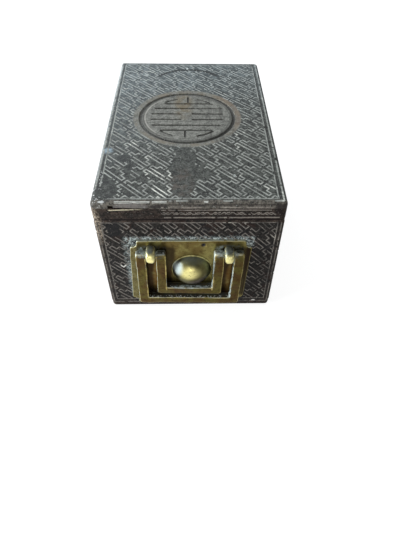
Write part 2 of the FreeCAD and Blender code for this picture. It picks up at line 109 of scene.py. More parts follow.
# brass fitting
PLATE_THICK = 1.3
PLATE_NOTCH = (3.6, 4.6)
PLATE_CORNER = 1.7
PLATE_RIM = 0.75
PLATE_EDGE = 0.4
PLATE_LEAN = 0.037
DENT = Vector((7.4, 56.7))
DENT_RADIUS = 0.8
BOSS_RADIUS = 11.4
BOSS_RISE = 7.7
BOSS_HEIGHT = 36.8
BOSS_SLIP = 0.8
BOSS_LIP = 0.25
LIP_THICK = 0.6
LIP_EDGE = 0.3
PEEN_RADIUS = 3.0
PEEN_RISE = 0.8
PIVOT_HEIGHT = 52.0
PIVOT_OUT = 4.4
EYE_RADIUS = 4.9
EYE_ROUND = 2.0
POST_WIDTH = 5.1
LEG_RADIUS = 2.05
TAIL_REACH = 8.0
TAIL_THICK = 1.4
TAIL_HALF = 2.1
BOARD_THICK = 7.0
PIN_RADIUS = 2.0
PIN_PLAY = 0.08
ARM_GAP = 5.5
OUTER_ARM, OUTER_DROP, OUTER_BAR = 5.6, 40.7, 4.9
INNER_ARM, INNER_DROP, INNER_BAR = 5.5, 31.7, 5.3
BAIL_CORNER = 1.9
ARM_TOP = 1.4
ARM_TOP_EDGE = 1.2
BAIL_EDGE = 0.45
LOOP_AWAY = 0.75


# ---------------------------------------------------------------- modelling tools
def only(piece):
    """Select one object and nothing else."""
    bpy.ops.object.select_all(action="DESELECT")
    piece.select_set(True)
    bpy.context.view_layer.objects.active = piece
    return piece


@contextmanager
def editing(piece):
    """Edit mode on one piece, with nothing selected at first."""
    only(piece)
    bpy.ops.object.mode_set(mode="EDIT")
    bpy.ops.mesh.select_all(action="DESELECT")
    yield
    bpy.ops.object.mode_set(mode="OBJECT")


def corners(node):
    """A CAD node's lowest and highest corners, in millimetres."""
    return [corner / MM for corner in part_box(node)]


def clamped(value):
    """The value, kept between 0 and 1."""
    return min(1.0, max(0.0, value))


def rough(x, y, z):
    """Smooth noise between -1 and 1."""
    return noise.noise(Vector((x, y, z)))


def middle(part):
    """A vertex's place, or the middle of an edge or face, in millimetres."""
    points = [corner.co for corner in getattr(part, "verts", [part])]
    return sum(points, Vector()) / len(points) / MM


def span(edge, axis):
    """How far an edge runs along an axis, in millimetres."""
    near, far = edge.verts
    return abs(near.co[axis] - far.co[axis]) / MM


def pick(kind, test):
    """In edit mode, select the vertices (VERT), edges (EDGE) or faces (FACE) that the test picks."""
    bpy.ops.mesh.select_mode(type=kind)
    bpy.ops.mesh.select_all(action="DESELECT")
    mesh = bmesh.from_edit_mesh(bpy.context.object.data)
    parts = {"VERT": mesh.verts, "EDGE": mesh.edges, "FACE": mesh.faces}[kind]
    for part in parts:
        if test(part):
            part.select_set(True)
    bmesh.update_edit_mesh(bpy.context.object.data)


def named(name):
    """Name the object that was just added, and put its place and turn into its mesh."""
    piece = bpy.context.object
    piece.name = name
    piece.data.name = name
    bpy.ops.object.transform_apply(location=True, rotation=True, scale=True)
    return piece


def block(name, low, high):
    """A box between two corners, from which a piece is shaped."""
    low, high = Vector(low) * MM, Vector(high) * MM
    bpy.ops.mesh.primitive_cube_add(size=1, location=(low + high) / 2, scale=high - low)
    return named(name)


def rod(name, centre, radius, length, turn, sides):
    bpy.ops.mesh.primitive_cylinder_add(
        vertices=sides, radius=radius * MM, depth=length * MM, location=Vector(centre) * MM, rotation=turn)
    return named(name)


def torus(name, centre, radius, thick, segments, sides):
    bpy.ops.mesh.primitive_torus_add(
        location=centre * MM, major_radius=radius * MM, minor_radius=thick * MM,
        major_segments=segments, minor_segments=sides)
    return named(name)


def ball(name, centre, radius, segments, rings, turn=(0, 0, 0)):
    bpy.ops.mesh.primitive_uv_sphere_add(
        segments=segments, ring_count=rings, radius=radius * MM, location=centre * MM, rotation=turn)
    return named(name)


def finish_with(piece, kind, **settings):
    """Add a modifier and apply it."""
    only(piece)
    modifier = piece.modifiers.new(kind.lower(), kind)
    for name, setting in settings.items():
        setattr(modifier, name, setting)
    bpy.ops.object.modifier_apply(modifier=modifier.name)
    return piece


def cut(piece, tool, crossing=False):
    """Cut the tool from the piece; crossing says that the tool's own parts run into each other."""
    finish_with(piece, "BOOLEAN", operation="DIFFERENCE", solver="EXACT", object=tool, use_self=crossing)
    bpy.data.objects.remove(tool)
    return piece


def join(name, pieces):
    bpy.ops.object.select_all(action="DESELECT")
    for piece in pieces:
        piece.select_set(True)
    bpy.context.view_layer.objects.active = pieces[0]
    if len(pieces) > 1:
        bpy.ops.object.join()
    pieces[0].name = name
    return pieces[0]


def bevel(size, segments=3, affect="EDGES"):
    bpy.ops.mesh.bevel(offset=size * MM, offset_type="OFFSET", segments=segments, affect=affect)


def round_edges(test, size, segments=3):
    """In edit mode, bevel the edges that the test picks."""
    pick("EDGE", test)
    bevel(size, segments)


def extrude(move):
    """In edit mode, extrude what is selected, by a move in metres."""
    bpy.ops.mesh.extrude_region_move(TRANSFORM_OT_translate={"value": move})


def plane_cut(axis, at, way=1, **settings):
    """In edit mode, cut the whole mesh by a plane across one axis."""
    place, normal = Vector(), Vector()
    place[axis] = at * MM
    normal[axis] = way
    bpy.ops.mesh.select_all(action="SELECT")
    bpy.ops.mesh.bisect(plane_co=place, plane_no=normal, **settings)


def slices(axis, low, high, spacing):
    """In edit mode, cut the whole mesh by evenly spaced planes."""
    count = max(1, round((high - low) / spacing))
    for number in range(1, count):
        plane_cut(axis, low + (high - low) * number / count)


def edge_loops(axis, places):
    """In edit mode, cut a plane on each side of some edges, so that what is done to them stays near."""
    for place in places:
        for away in (-LOOP_AWAY, LOOP_AWAY):
            plane_cut(axis, place + away)


def trim(place, normal):
    """In edit mode, cut away what lies on the normal's side of a plane, and close the cut."""
    bpy.ops.mesh.select_all(action="SELECT")
    bpy.ops.mesh.bisect(plane_co=Vector(place) * MM, plane_no=normal, use_fill=True, clear_outer=True)


def reshape(piece, move):
    """Move every vertex by what the function says of its place, in millimetres."""
    for vertex in piece.data.vertices:
        vertex.co += Vector(move(*(vertex.co / MM))) * MM
    piece.data.update()


def wobble(piece, amount, spacing, seed=0.0):
    """Push the surface in and out a little, as hand work leaves it."""
    normals = [vertex.normal.copy() for vertex in piece.data.vertices]
    for vertex, normal in zip(piece.data.vertices, normals):
        at = vertex.co / (spacing * MM) + Vector((seed, seed, seed))
        vertex.co += normal * noise.noise(at) * amount * MM
    piece.data.update()


def outward(piece):
    """Merge doubles and turn every face outwards."""
    with editing(piece):
        bpy.ops.mesh.select_all(action="SELECT")
        bpy.ops.mesh.remove_doubles(threshold=0.004 * MM)
        bpy.ops.mesh.normals_make_consistent(inside=False)
    return piece


def mark(piece):
    """Write at each vertex how far it faces up and left, and how sharply the surface stands out there."""
    mesh = bmesh.new()
    mesh.from_mesh(piece.data)
    mesh.normal_update()
    upward = [corner.normal.z for corner in mesh.verts]
    leftward = [-corner.normal.x for corner in mesh.verts]
    sharp = [max([edge.calc_face_angle_signed(0.0) for edge in corner.link_edges], default=0.0)
             for corner in mesh.verts]
    mesh.free()
    for name, values in (("upward", upward), ("leftward", leftward), ("sharp", sharp)):
        piece.data.attributes.new(name, "FLOAT", "POINT").data.foreach_set("value", values)
    return piece


def smooth(piece, angle):
    only(piece)
    bpy.ops.object.shade_smooth_by_angle(angle=radians(angle))
    return piece


def ready(piece, body, material, slot, *nodes):
    """Give a finished piece its material and body, and the nodes that it stands for. The slot is not used.
    """
    piece.data.materials.clear()
    piece.data.materials.append(material)
    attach(piece, body)
    if nodes:
        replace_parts(piece, *nodes)
    return piece


def turned_copy(piece, name):
    """The same piece at the back end, with a mesh of its own."""
    copy = piece.copy()
    copy.data = piece.data.copy()
    copy.name = name
    copy.data.name = name
    bpy.context.scene.collection.objects.link(copy)
    copy.data.transform(Matrix.Rotation(radians(180), 4, "Z"))
    return copy


# ---------------------------------------------------------------- shader tools
class Paint:
    """An output in a material. Operators on it add Math nodes, and node() adds any other kind."""

    def __init__(self, tree, output=None):
        self.tree = tree
        self.output = output

    def node(self, kind, settings=None, sockets=None, out=0):
        """A new node: its settings first, then a value or a link for each socket."""
        made = self.tree.nodes.new("ShaderNode" + kind)
        for name, setting in (settings or {}).items():
            setattr(made, name, setting)
        for name, given in (sockets or {}).items():
            if isinstance(given, Paint):
                self.tree.links.new(given.output, made.inputs[name])
            else:
                made.inputs[name].default_value = given
        return Paint(self.tree, made.outputs[out] if made.outputs else None)

    def maths(self, operation, *values):
        return self.node("Math", {"operation": operation}, dict(enumerate(values)))

    def __add__(self, other):
        return self.maths("ADD", self, other)

    def __sub__(self, other):
        return self.maths("SUBTRACT", self, other)

    def __rsub__(self, other):
        return self.maths("SUBTRACT", other, self)

    def __mul__(self, other):
        return self.maths("MULTIPLY", self, other)

    __radd__ = __add__
    __rmul__ = __mul__

    def most(self, other):
        return self.maths("MAXIMUM", self, other)

    def size(self):
        return self.maths("ABSOLUTE", self)

    def rise(self, low, high):
        """0 up to low, 1 from high, smooth between; falls where low is above high."""
        settings = {"interpolation_type": "SMOOTHSTEP"}
        return self.node("MapRange", settings, {"Value": self, "From Min": low, "From Max": high})

    def band(self, *edges):
        """1 between two soft edges: a rise, and then a fall."""
        return self.rise(*edges[:2]) * self.rise(*edges[2:])

    def under(self, *layers):
        """This colour below layers, each a mask and its colour, laid on in turn."""
        colour = self
        for mask, shade in layers:
            colour = mask.blend(colour, shade)
        return colour

    def blend(self, start, end):
        """A colour from start at 0 to end at 1."""
        return self.node("Mix", {"data_type": "RGBA"}, {0: self, 6: linear(start), 7: linear(end)}, out=2)


def linear(colour):
    """The socket's colour for a screen colour, 0 to 255; a link stays what it is."""
    if isinstance(colour, Paint):
        return colour
    parts = [part / 255 for part in colour]
    return (*(part / 12.92 if part <= 0.04045 else ((part + 0.055) / 1.055) ** 2.4 for part in parts), 1.0)


def emptied(owner):
    """The start of a new tree of nodes in a material or world."""
    owner.use_nodes = True
    owner.node_tree.nodes.clear()
    return Paint(owner.node_tree)


def new_material(name):
    """An empty material; returns it with the start of its nodes and the object's place in millimetres."""
    material = bpy.data.materials.new(name)
    start = emptied(material)
    place = start.node("TexCoord", out="Object")
    return material, start, start.node("VectorMath", {"operation": "SCALE"}, {0: place, "Scale": 1 / MM})


def axis_of(place, axis):
    return place.node("SeparateXYZ", None, {0: place}, out=axis)


def axes_of(place):
    return (axis_of(place, axis) for axis in "XYZ")


def fog(place, size, detail=3.0, roughness=0.55, stretch=(1, 1, 1), shift=(0, 0, 0)):
    """Soft noise about 0.5, whose lumps are of the size given, drawn out along the axes by stretch."""
    scale = tuple(1 / (size * part) for part in stretch)
    moved = place.node("Mapping", None, {"Vector": place, "Scale": scale, "Location": shift})
    sockets = {"Vector": moved, "Scale": 1.0, "Detail": detail, "Roughness": roughness}
    return place.node("TexNoise", None, sockets)


def within(place, centre, radii):
    """How far out a place is from a centre, 1 at the radii."""
    offset = place.node("VectorMath", {"operation": "SUBTRACT"}, {0: place, 1: centre})
    share = place.node("VectorMath", {"operation": "DIVIDE"}, {0: offset, 1: radii})
    return place.node("VectorMath", {"operation": "LENGTH"}, {0: share}, out="Value")


def blot(place, centre, radii, outer, inner):
    """A mark with a soft edge, which lies between two shares of the radii."""
    return within(place, centre, radii).rise(outer, inner)


def bump(height, distance):
    return height.node("Bump", None, {"Height": height, "Distance": distance * MM, "Strength": 1.0})


def coated(start, **sockets):
    """The surface shader that all materials end in."""
    named_sockets = {name.replace("_", " "): given for name, given in sockets.items()}
    shader = start.node("BsdfPrincipled", None, named_sockets)
    start.node("OutputMaterial", None, {"Surface": shader})


# ---------------------------------------------------------------- wood
def lacquer(place, coarse, fine, stretch):
    """Old lacquer: its mottle, its specks, the two together, and the wood's fibre below."""
    mottle = fog(place, coarse, 5, 0.7)
    speck = fog(place, fine, 4, 0.7)
    return mottle, speck, mottle * 0.5 + speck * 0.5, fog(place, 0.7, 4, 0.6, stretch)


def dust(place):
    """Fine specks of dust."""
    return fog(place, 0.9, 3, 0.6, shift=(9, 4, 2)).rise(0.62, 0.72)


def lid_wood():
    """Old black lacquer on the lid, greyed by dust and by a painted sheen at the back, with a browner
    medallion.
    """
    material, start, place = new_material("lid_wood")
    across, along, up = axes_of(place)
    mottle, speck, grain, fibre = lacquer(place, 2.8, 1.1, (1, 12, 1))
    left = across.rise(-22, -40) * along.rise(-22, -45) * fog(place, 5, 3, shift=(1, 5, 2)).rise(0.36, 0.56)
    colour = grain.rise(0.4, 0.62).blend((5, 7, 6), (102, 106, 101)).under(
        (fog(place, 14, 4).rise(0.5, 0.66) * 0.5, (26, 30, 30)),
        (left * 0.6, (22, 26, 26)),
        *lid_sheen_and_marks(place, across, along, grain),
        lid_round(place, across, grain, up),
        *lid_wear(place, across, along, up, grain),
        (dust(place) * 0.7, (186, 190, 186)))
    relief = mottle * 0.5 + speck * 0.35 + fibre * 0.3
    coated(start, Base_Color=colour, Roughness=0.44 + grain * 0.3, Normal=bump(relief, 0.16),
           Specular_IOR_Level=0.4)
    return material


def lid_sheen_and_marks(place, across, along, grain):
    """Painted sheen: a pale haze and paler patches over the back of the lid; also white flecks, and the dark
    mark that a round foot left.
    """
    # the pale haze and the paler patches at the back are painted sheen
    back = (along + across * -0.6).rise(-45, 90)
    back_sheen = grain.rise(0.36, 0.64).blend((50, 60, 65), (122, 136, 142))
    sheen_patches = fog(place, 3.6, 3, 0.5, (1, 1.8, 1), (4, 7, 1)).rise(0.5, 0.62) * back
    foot = within(place, (*FOOT_MARK, LID_TOP), (FOOT_RADIUS, FOOT_RADIUS, 30))
    foot = foot.band(0.93, 0.96, 1.06, 1.03) * along.rise(52, 60)
    flecks = ((-1.7, 69.4, 0.9, 1), (-30, 59.5, 1.4, 0.6), (24.6, 54, 0.8, 0.6), (24, -57, 0.7, 1))
    return [(back * 0.7, back_sheen), (sheen_patches * 0.3, (160, 174, 178)), (foot * 0.8, (20, 24, 26)),
            *((blot(place, (x, y, LID_TOP), (size, size * 1.6, 9), 1.2, 0.5) * share, (222, 230, 230))
              for x, y, size, share in flecks)]


def lid_wear(place, across, along, up, grain):
    """Worn and stained places along the lid's edges; painted shade along the front edge and in the split,
    and a painted highlight along the left rounded edge.
    """
    bare = blot(place, (-4, -64, LID_TOP), (7, 16, 9), 1.2, 0.4) * fog(place, 4, 4).rise(0.4, 0.62)
    lane = (across + 0.5).size().band(45.2, 45.7, 47.3, 46.8)
    front = along.rise(-76.4, -77.2)
    earth = grain.rise(0.4, 0.6).blend((36, 34, 30), (126, 120, 110))
    # painted shade along the front edge (shade), darker where the splinter is gone (deep) and at the right
    # end (dark_end)
    shade = front * up.band(83.1, 83.35, 83.9, 83.6) * across.rise(-22, -12)
    deep = blot(place, (-16.5, -79.6, 82.6), (5, 6, 1.1), 1.1, 0.7)
    dark_end = across.rise(42.5, 45) * along.rise(-78.6, -79.3) * up.rise(84, 83.2)
    pale = blot(place, (-30, -79.6, 82.6), (9.5, 6, 1.6), 1.1, 0.8)
    # painted highlight along the left rounded edge
    rim_highlight = across.rise(-48.2, -49) * (0.35 + along.rise(30, 62) * 0.6) * grain.rise(0.36, 0.52)
    rim_highlight = rim_highlight * along.rise(-70, -50) * up.rise(82.4, 84)
    stain = blot(place, (-46, -34, LID_TOP), (3.4, 4, 9), 1.1, 0.3) * grain.rise(0.3, 0.6)
    chips = blot(place, (-47.5, -66, LID_TOP), (2.4, 18, 9), 1.1, 0.6) * fog(place, 1.6, 4).rise(0.6, 0.66)
    corner = blot(place, (-46, -77.5, 84), (4, 3.4, 9), 1.1, 0.5) * fog(place, 1.3, 4).rise(0.55, 0.62)
    streak = blot(place, (-44.2, -78.2, 84.2), (1.8, 0.6, 1.2), 1.2, 0.7)
    return [(bare * 0.45, (98, 84, 74)), (lane * 0.6, (30, 31, 29)), (front * 0.9, earth),
            (shade.most(deep).most(dark_end) * 0.85, (30, 22, 21)), (pale * 0.5, (138, 134, 132)),
            (rim_highlight, (206, 212, 214)), (stain * 0.8, (190, 212, 226)),
            (chips.most(corner).most(streak) * 0.9, (230, 233, 232))]


def lid_round(place, across, grain, up):
    """The medallion's place and colour: grey-brown, dark in the grooves, rubbed in places, with painted
    light on the grooves' left side and a painted highlight on the ring groove's inner wall.
    """
    out = within(place, (*MEDAL, LID_TOP), (MEDAL_BAND, MEDAL_BAND, 9))
    left = across.rise(-10, -26)
    streaks = fog(place, 2.2, 4, 0.6, (1, 7, 1), (5, 1, 3)).rise(0.5, 0.66) * across.rise(0, 16)
    stain = blot(place, (-4, 18, LID_TOP), (6, 18, 9), 1.3, 0.4) * fog(place, 6, 3).rise(0.35, 0.6)
    ring = out.band(0.885, 0.9, 0.99, 0.975) * fog(place, 9, 4).rise(0.4, 0.6)
    rubbed = blot(place, (26, 12, LID_TOP), (14, 26, 9), 1.2, 0.5) * out.rise(0.86, 0.95)
    # painted highlight: the ring groove's inner wall, on the left
    lit = out.band(0.765, 0.775, 0.8, 0.79) * left * grain.rise(0.3, 0.5)
    colour = grain.rise(0.38, 0.62).blend((84, 85, 80), (152, 153, 146)).under(
        (streaks * 0.5, (56, 56, 52)),
        (stain * 0.6, (124, 106, 70)),
        (out.band(0.775, 0.79, 0.86, 0.83) * 0.45, (48, 49, 46)),
        (ring * 0.6, (132, 122, 104)),
        (rubbed * 0.4, (128, 106, 88)),
        # darker in the grooves, less so on the left side, where the lightening is painted light
        (up.rise(84.5, 84.0) * (0.85 - left * 0.3), (32, 32, 30)),
        (lit * 0.7, (190, 188, 180)))
    return out.rise(1.02, 0.985), colour


def side_wood():
    """The same lacquer on the upright faces: darker, browner, worn through at the corners."""
    material, start, place = new_material("side_wood")
    across, along, up = axes_of(place)
    mottle, speck, grain, fibre = lacquer(place, 2.4, 1.0, (12, 12, 1))
    colour = grain.rise(0.4, 0.64).blend((3, 3, 3), (58, 54, 51)).under(
        (fog(place, 16, 4).rise(0.5, 0.66) * 0.5, (24, 26, 30)),
        (fog(place, 8, 3, 0.5, shift=(3, 8, 5)).rise(0.54, 0.66) * 0.5, (48, 28, 21)),
        *side_wear(place, across, along, up, grain, speck),
        (dust(place) * 0.6, (150, 146, 140)))
    coated(start, Base_Color=colour, Roughness=0.48 + grain * 0.28,
           Normal=bump(mottle * 0.6 + fibre * 0.4, 0.18), Specular_IOR_Level=0.18)
    return material


def side_wear(place, across, along, up, grain, speck):
    """Brown worn wood on the lid's rails and at the corners, a painted highlight along the lid joint's lower
    lip on the left, and pale dirt round the brass plate.
    """
    left = blot(place, (-36, -79.7, 78.5), (26, 6, 7), 1.1, 0.4)
    brown = (up.rise(73.2, 74.4) * 0.55).most(left * 0.85).most(up.rise(7, 5) * 0.6)
    brown = brown.most(up.band(71, 71.8, 73.9, 73.5) * 0.9) * fog(place, 5, 4).rise(0.25, 0.55)
    seam = (up - 73.9).size().rise(0.75, 0.45)
    groove = (up - 76.5).size().rise(0.45, 0.2) * across.rise(-18, -8)
    end = blot(place, (49, -79.8, 79.5), (5.5, 5, 3.6), 1.1, 0.7)
    corner = across.size().rise(46.6, 49.4) * along.size().rise(76.4, 79)
    worn = corner * fog(place, 2.4, 4, 0.65).rise(0.4, 0.56)
    split = blot(place, (-48.5, -79.5, 70), (3.2, 3.4, 15), 1.1, 0.6)
    split = split * fog(place, 1.5, 4, 0.7).rise(0.4, 0.5)
    # painted highlight: a bright line along the lower lip of the lid's joint, on the left
    lip = (up - across * 0.04 - 81.9).size().rise(0.5, 0.25) * across.band(-41.5, -40.5, -22, -30)
    vee = (up - (across + 38.5).size() * 1.1 - 37.3).size().rise(0.8, 0.45)
    vee = vee * (across + 38.3).size().rise(2, 1.5)
    chip = blot(place, (39.8, -79.6, 5), (1.4, 2, 0.9), 1.1, 0.6)
    crust = plate_crust(across, along, up) * fog(place, 2.0, 4, 0.7).rise(0.38, 0.54)
    return [(brown, grain.rise(0.4, 0.62).blend((14, 10, 8), (88, 75, 67))),
            (seam.most(groove).most(end) * 0.85, (22, 14, 14)), (worn * 0.5, (98, 84, 72)),
            (split * 0.9, speck.rise(0.4, 0.58).blend((62, 48, 36), (192, 178, 160))),
            (lip * fog(place, 1.4, 3).rise(0.36, 0.5), (222, 214, 186)),
            (vee.most(chip) * along.rise(-79, -79.4), (238, 236, 230)),
            (crust * 0.95, speck.rise(0.4, 0.62).blend((70, 86, 90), (222, 232, 230)))]


def plate_crust(across, along, up):
    """Where pale dirt has gathered on the wood above the brass plate and beside it."""
    above = across.size().rise(37, 34) * up.band(58.4, 59.2, 62.6, 60.2)
    notch = across.size().band(29.5, 31, 36, 34.6) * up.band(53.5, 55, 61, 59.5)
    beside = (across * -1).band(33.2, 34.2, 38, 35.2) * up.band(8, 26, 60, 57)
    return above.most(notch).most(beside * 0.6) * along.size().rise(79, 79.15)


def plain_wood(name, dark, light, axis=1):
    """Bare wood of the fittings inside, grained along one axis."""
    material, start, place = new_material(name)
    stretch = [1, 1, 1]
    stretch[axis] = 18
    fibre = fog(place, 1.1, 5, 0.6, stretch)
    pores = fog(place, 0.35, 2, 0.5, [1 + 9 * (part > 1) for part in stretch])
    colour = fibre.rise(0.3, 0.7).blend(dark, light).under(
        (fog(place, 24, 3).rise(0.4, 0.7) * 0.4, dark),
        (pores.rise(0.62, 0.72) * 0.6, (38, 24, 16)))
    coated(start, Base_Color=colour, Roughness=0.5 + fibre * 0.2, Normal=bump(fibre + pores * 0.5, 0.1))
    return material


# ---------------------------------------------------------------- brass, wire, stone and ink
def brass(name, dark, light, clean, dust_shade=(42, 48, 49), crumbs=(0.56, 0.66), mottled=0.65,
          rubbed_and_lit_at=None, rubbed_and_lit_radii=(1, 1, 1), worn_below=None, left_highlight=0.8, glint_at=(0, 0, 0),
          shaded=(), brown_shade_at=(0, 0, 0), brown_shade_size=1.0, pit_at=(0, 0, 0), grey_and_shade_left=0.0):
    """Tarnished brass: brown and olive patina, bright on the edges, dusty where it faces up; painted
    highlights on left-facing faces, top edges and a glint, and painted shade and shadow where asked.
    """
    material, start, place = new_material(name)
    sharp, upward, leftward = (start.node("Attribute", {"attribute_name": name}, out="Fac")
                               for name in ("sharp", "upward", "leftward"))
    across, along, height = axes_of(place)
    mottle = fog(place, 2.0, 5, 0.65)
    speck = fog(place, 1.1, 3, 0.65)
    layers = [(mottle.rise(0.46, 0.68) * mottled, (50, 34, 14))]
    # grey tarnish on the left of the plate, darkened as painted shade
    if grey_and_shade_left:
        greyed_and_shaded = across.rise(-22, -31) * mottle.rise(0.2, 0.5) * grey_and_shade_left
        layers.append((greyed_and_shaded, speck.rise(0.4, 0.62).blend((78, 70, 40), (118, 112, 76))))
    if shaded:
        between = across.size().band(15.5, 18, 30.5, 28) * height.rise(53, 47)
        layers.append((between * mottle.rise(0.2, 0.6) * 0.6, (104, 66, 24)))
    # painted shadow on the plate to the right of each arm listed in shaded
    for edge_at in shaded:
        reach = edge_at + 2.6 + height.rise(30, 50) * 2.6
        arm_shadow = (across - reach).rise(1.2, -1.2) * across.rise(edge_at - 1.2, edge_at - 0.4)
        layers.append((arm_shadow * height.band(57, 53, 10, 14) * 0.85, (32, 19, 7)))
    edge = sharp.rise(0.12, 0.5) * (0.3 + fog(place, 2.4, 3).rise(0.35, 0.6) * 0.6)
    # clean bright brass round rubbed_and_lit_at: rubbed brass on the boss, and on the plate a painted patch
    # of light below the boss
    if rubbed_and_lit_at:
        edge = edge.most(blot(place, rubbed_and_lit_at, rubbed_and_lit_radii, 1.2, 0.3) * speck.rise(0.15, 0.5))
    if worn_below:
        edge = edge.most(upward.rise(worn_below, worn_below - 0.4) * mottle.rise(0.2, 0.45))
    # painted shade, dark brown: round the plate's dent and over the boss's lower right
    brown_shade = blot(place, brown_shade_at, (brown_shade_size, 6, brown_shade_size), 1.25, 0.4)
    dusty = upward.rise(0.5, 0.9) * (0.6 + fog(place, 2.2, 4, 0.6).rise(0.35, 0.62) * 0.4) * (1 - edge * 0.8)
    # white crumbs only towards the front, beyond 84.6 mm out; further back the dust keeps its dark colour,
    # as painted shade
    crumb = speck.rise(*crumbs) * along.size().rise(83.8, 84.6)
    crust, palest = fitting_crust(place)
    crust = crust * 0.75
    flaky = mottle.rise(0.52 - palest * 0.2, 0.62) * (0.3 + palest * 0.7)
    # painted highlight: matt bluish white on faces turned to the left, on upward sharp edges (lit), and in a
    # glint spot round glint_at
    lit = upward.rise(0.3, 0.6) * sharp.rise(0.2, 0.5) * 0.45
    pale = leftward.rise(0.4, 0.8).most(lit) * fog(place, 3, 3, shift=(2, 2, 8)).rise(0.32, 0.46) * left_highlight
    pale = pale.most(blot(place, glint_at, (4.2, 4.6, 4.4), 1.3, 0.25) * 0.9)
    # painted shade: near black in the dent's hollow
    pit = blot(place, pit_at, (1.1, 1.3, 1.1), 1.1, 0.8)
    colour = fog(place, 11, 4, 0.6).rise(0.38, 0.62).blend(dark, light).under(
        *layers,
        (edge, clean),
        (brown_shade * mottle.rise(0.2, 0.5), (46, 30, 12)),
        (dusty * 0.85, crumb.blend(dust_shade, (230, 236, 232))),
        (crust, flaky.blend((46, 56, 59), (192, 208, 208))),
        (pale, (214, 230, 230)),
        (pit, (12, 9, 6)))
    matt = dusty.most(crust).most(pale).most(pit)
    coated(start, Base_Color=colour, Metallic=0.95 - matt * 0.85,
           Roughness=0.3 + mottle * 0.16 - edge * 0.08 + matt * 0.3,
           Normal=bump(mottle * 0.4 + speck * 0.2, 0.2))
    return material


def fitting_crust(place):
    """Dirt that has gathered round the two posts and on the inner bar, and where it is palest."""
    near = [blot(place, (x, -83, 53.4), (8.2, 5.4, 3.6), 1.2, 0.75) for x in (-21.5, 21.5)]
    bar = blot(place, (0, -85.3, 25.7), (13.5, 1.7, 1.2), 1.1, 0.7)
    pale = [blot(place, (x, -84, 54), (3.8, 5, 3), 1.3, 0.6) for x in (-27, 14.8)]
    crust = near[0].most(near[1]).most(bar) * fog(place, 1.6, 4, 0.7).rise(0.38, 0.54)
    return crust, pale[0].most(pale[1]).most(bar)


def silver(name, dull, light, bright, polished=(), back_sheen=0.0, smoked=0.0):
    """Fine drawn wire, oxidised grey: bright or smoked in places, and paler towards the back by a painted
    sheen, as much as back_sheen gives.
    """
    material, start, place = new_material(name)
    grain = fog(place, 1.4, 4, 0.6)
    colour = grain.rise(0.25, 0.75).blend(dull, light)
    # painted sheen: the wire paler towards the back
    if back_sheen:
        colour = (axis_of(place, "Y").rise(-10, 60) * back_sheen).blend(colour, (196, 206, 208))
    shine = fog(place, 11, 3).rise(0.6, 0.72)
    for centre, radii in polished:
        shine = shine.most(blot(place, centre, radii, 1.2, 0.6))
    shine = shine * grain.rise(0.3, 0.55)
    colour = (shine * 0.8).blend(colour, bright)
    smoky = fog(place, 6, 4, 0.6, shift=(7, 3, 1)).rise(0.48, 0.62) * (1 - shine) * smoked
    colour = smoky.blend(colour, (44, 42, 40))
    coated(start, Base_Color=colour, Metallic=0.2 + shine * 0.4, Roughness=0.55 - shine * 0.15,
           Normal=bump(grain, 0.03))
    return material


def stone_slate():
    """Dark fine-grained stone with a faint lighter vein."""
    material, start, place = new_material("ink_stone_slate")
    cloud = fog(place, 14, 5, 0.6)
    grain = fog(place, 0.5, 3, 0.6)
    vein = (fog(place, 18, 4, 0.55, (1, 3, 1)) - 0.5).size()
    inked = axis_of(place, "Z").rise(30.5, 29.0) * axis_of(place, "Y").rise(10, 34)
    colour = cloud.rise(0.3, 0.7).blend((38, 38, 42), (66, 64, 68)).under(
        (vein.rise(0.012, 0.0) * 0.4, (108, 108, 112)),
        (inked * 0.8, (20, 20, 22)))
    coated(start, Base_Color=colour, Roughness=0.38 + grain * 0.2 - inked * 0.1, Normal=bump(grain, 0.03))
    return material


def ink_cake():
    """Pressed ink: near black, faintly satin, scuffed along the edges."""
    material, start, place = new_material("pressed_ink")
    cloud = fog(place, 8, 4)
    grain = fog(place, 0.6, 3)
    worn = axis_of(place, "Y").rise(36, 44) * fog(place, 3, 3).rise(0.3, 0.6)
    colour = cloud.rise(0.3, 0.7).blend((26, 26, 29), (44, 43, 46)).under((worn * 0.6, (70, 68, 68)))
    coated(start, Base_Color=colour, Roughness=0.42 + grain * 0.25,
           Normal=bump(cloud * 0.6 + grain * 0.3, 0.08))
    return material


# ---------------------------------------------------------------- inlaid wire
def extrude_edge(at, move, steps):
    """In edit mode, extrude the edge whose middle is at a place, in equal steps."""
    pick("EDGE", lambda edge: (middle(edge) - Vector(at)).length < 0.01)
    for _ in range(steps):
        extrude(Vector(move) * MM / steps)


def fret_strip(pitch, width):
    """One repeat of the key fret: a square of wire extruded round the right-angled turns."""
    rise, tread, run = 0.173 * pitch, 0.269 * pitch, 1.2452 * pitch
    legs = [(0, rise), (-tread, 0), (0, rise), (-tread, 0), (0, rise), (run, 0),
            (0, -rise), (-tread, 0), (0, -rise), (-tread, 0), (0, -rise), (run, 0)]
    bpy.ops.mesh.primitive_plane_add(size=width * MM)
    strip = named("fret_strip")
    at = Vector((0, 0, 0))
    with editing(strip):
        for number, leg in enumerate(legs):
            leg = Vector((*leg, 0))
            way = leg.normalized()
            straight = leg - way * width
            extrude_edge(at + way * width / 2, straight, ceil(straight.length / WIRE_STEP))
            at += leg
            if number < len(legs) - 1:
                extrude_edge(at - way * width / 2, way * width, 1)
        pick("VERT", lambda corner: len(corner.link_faces) == 1
             and width < corner.co.length / MM < run * 1.7)
        bevel(0.3 * width, 1, "VERTICES")
    strip.rotation_euler.z = radians(-45)
    only(strip)
    bpy.ops.object.transform_apply(rotation=True)
    return strip


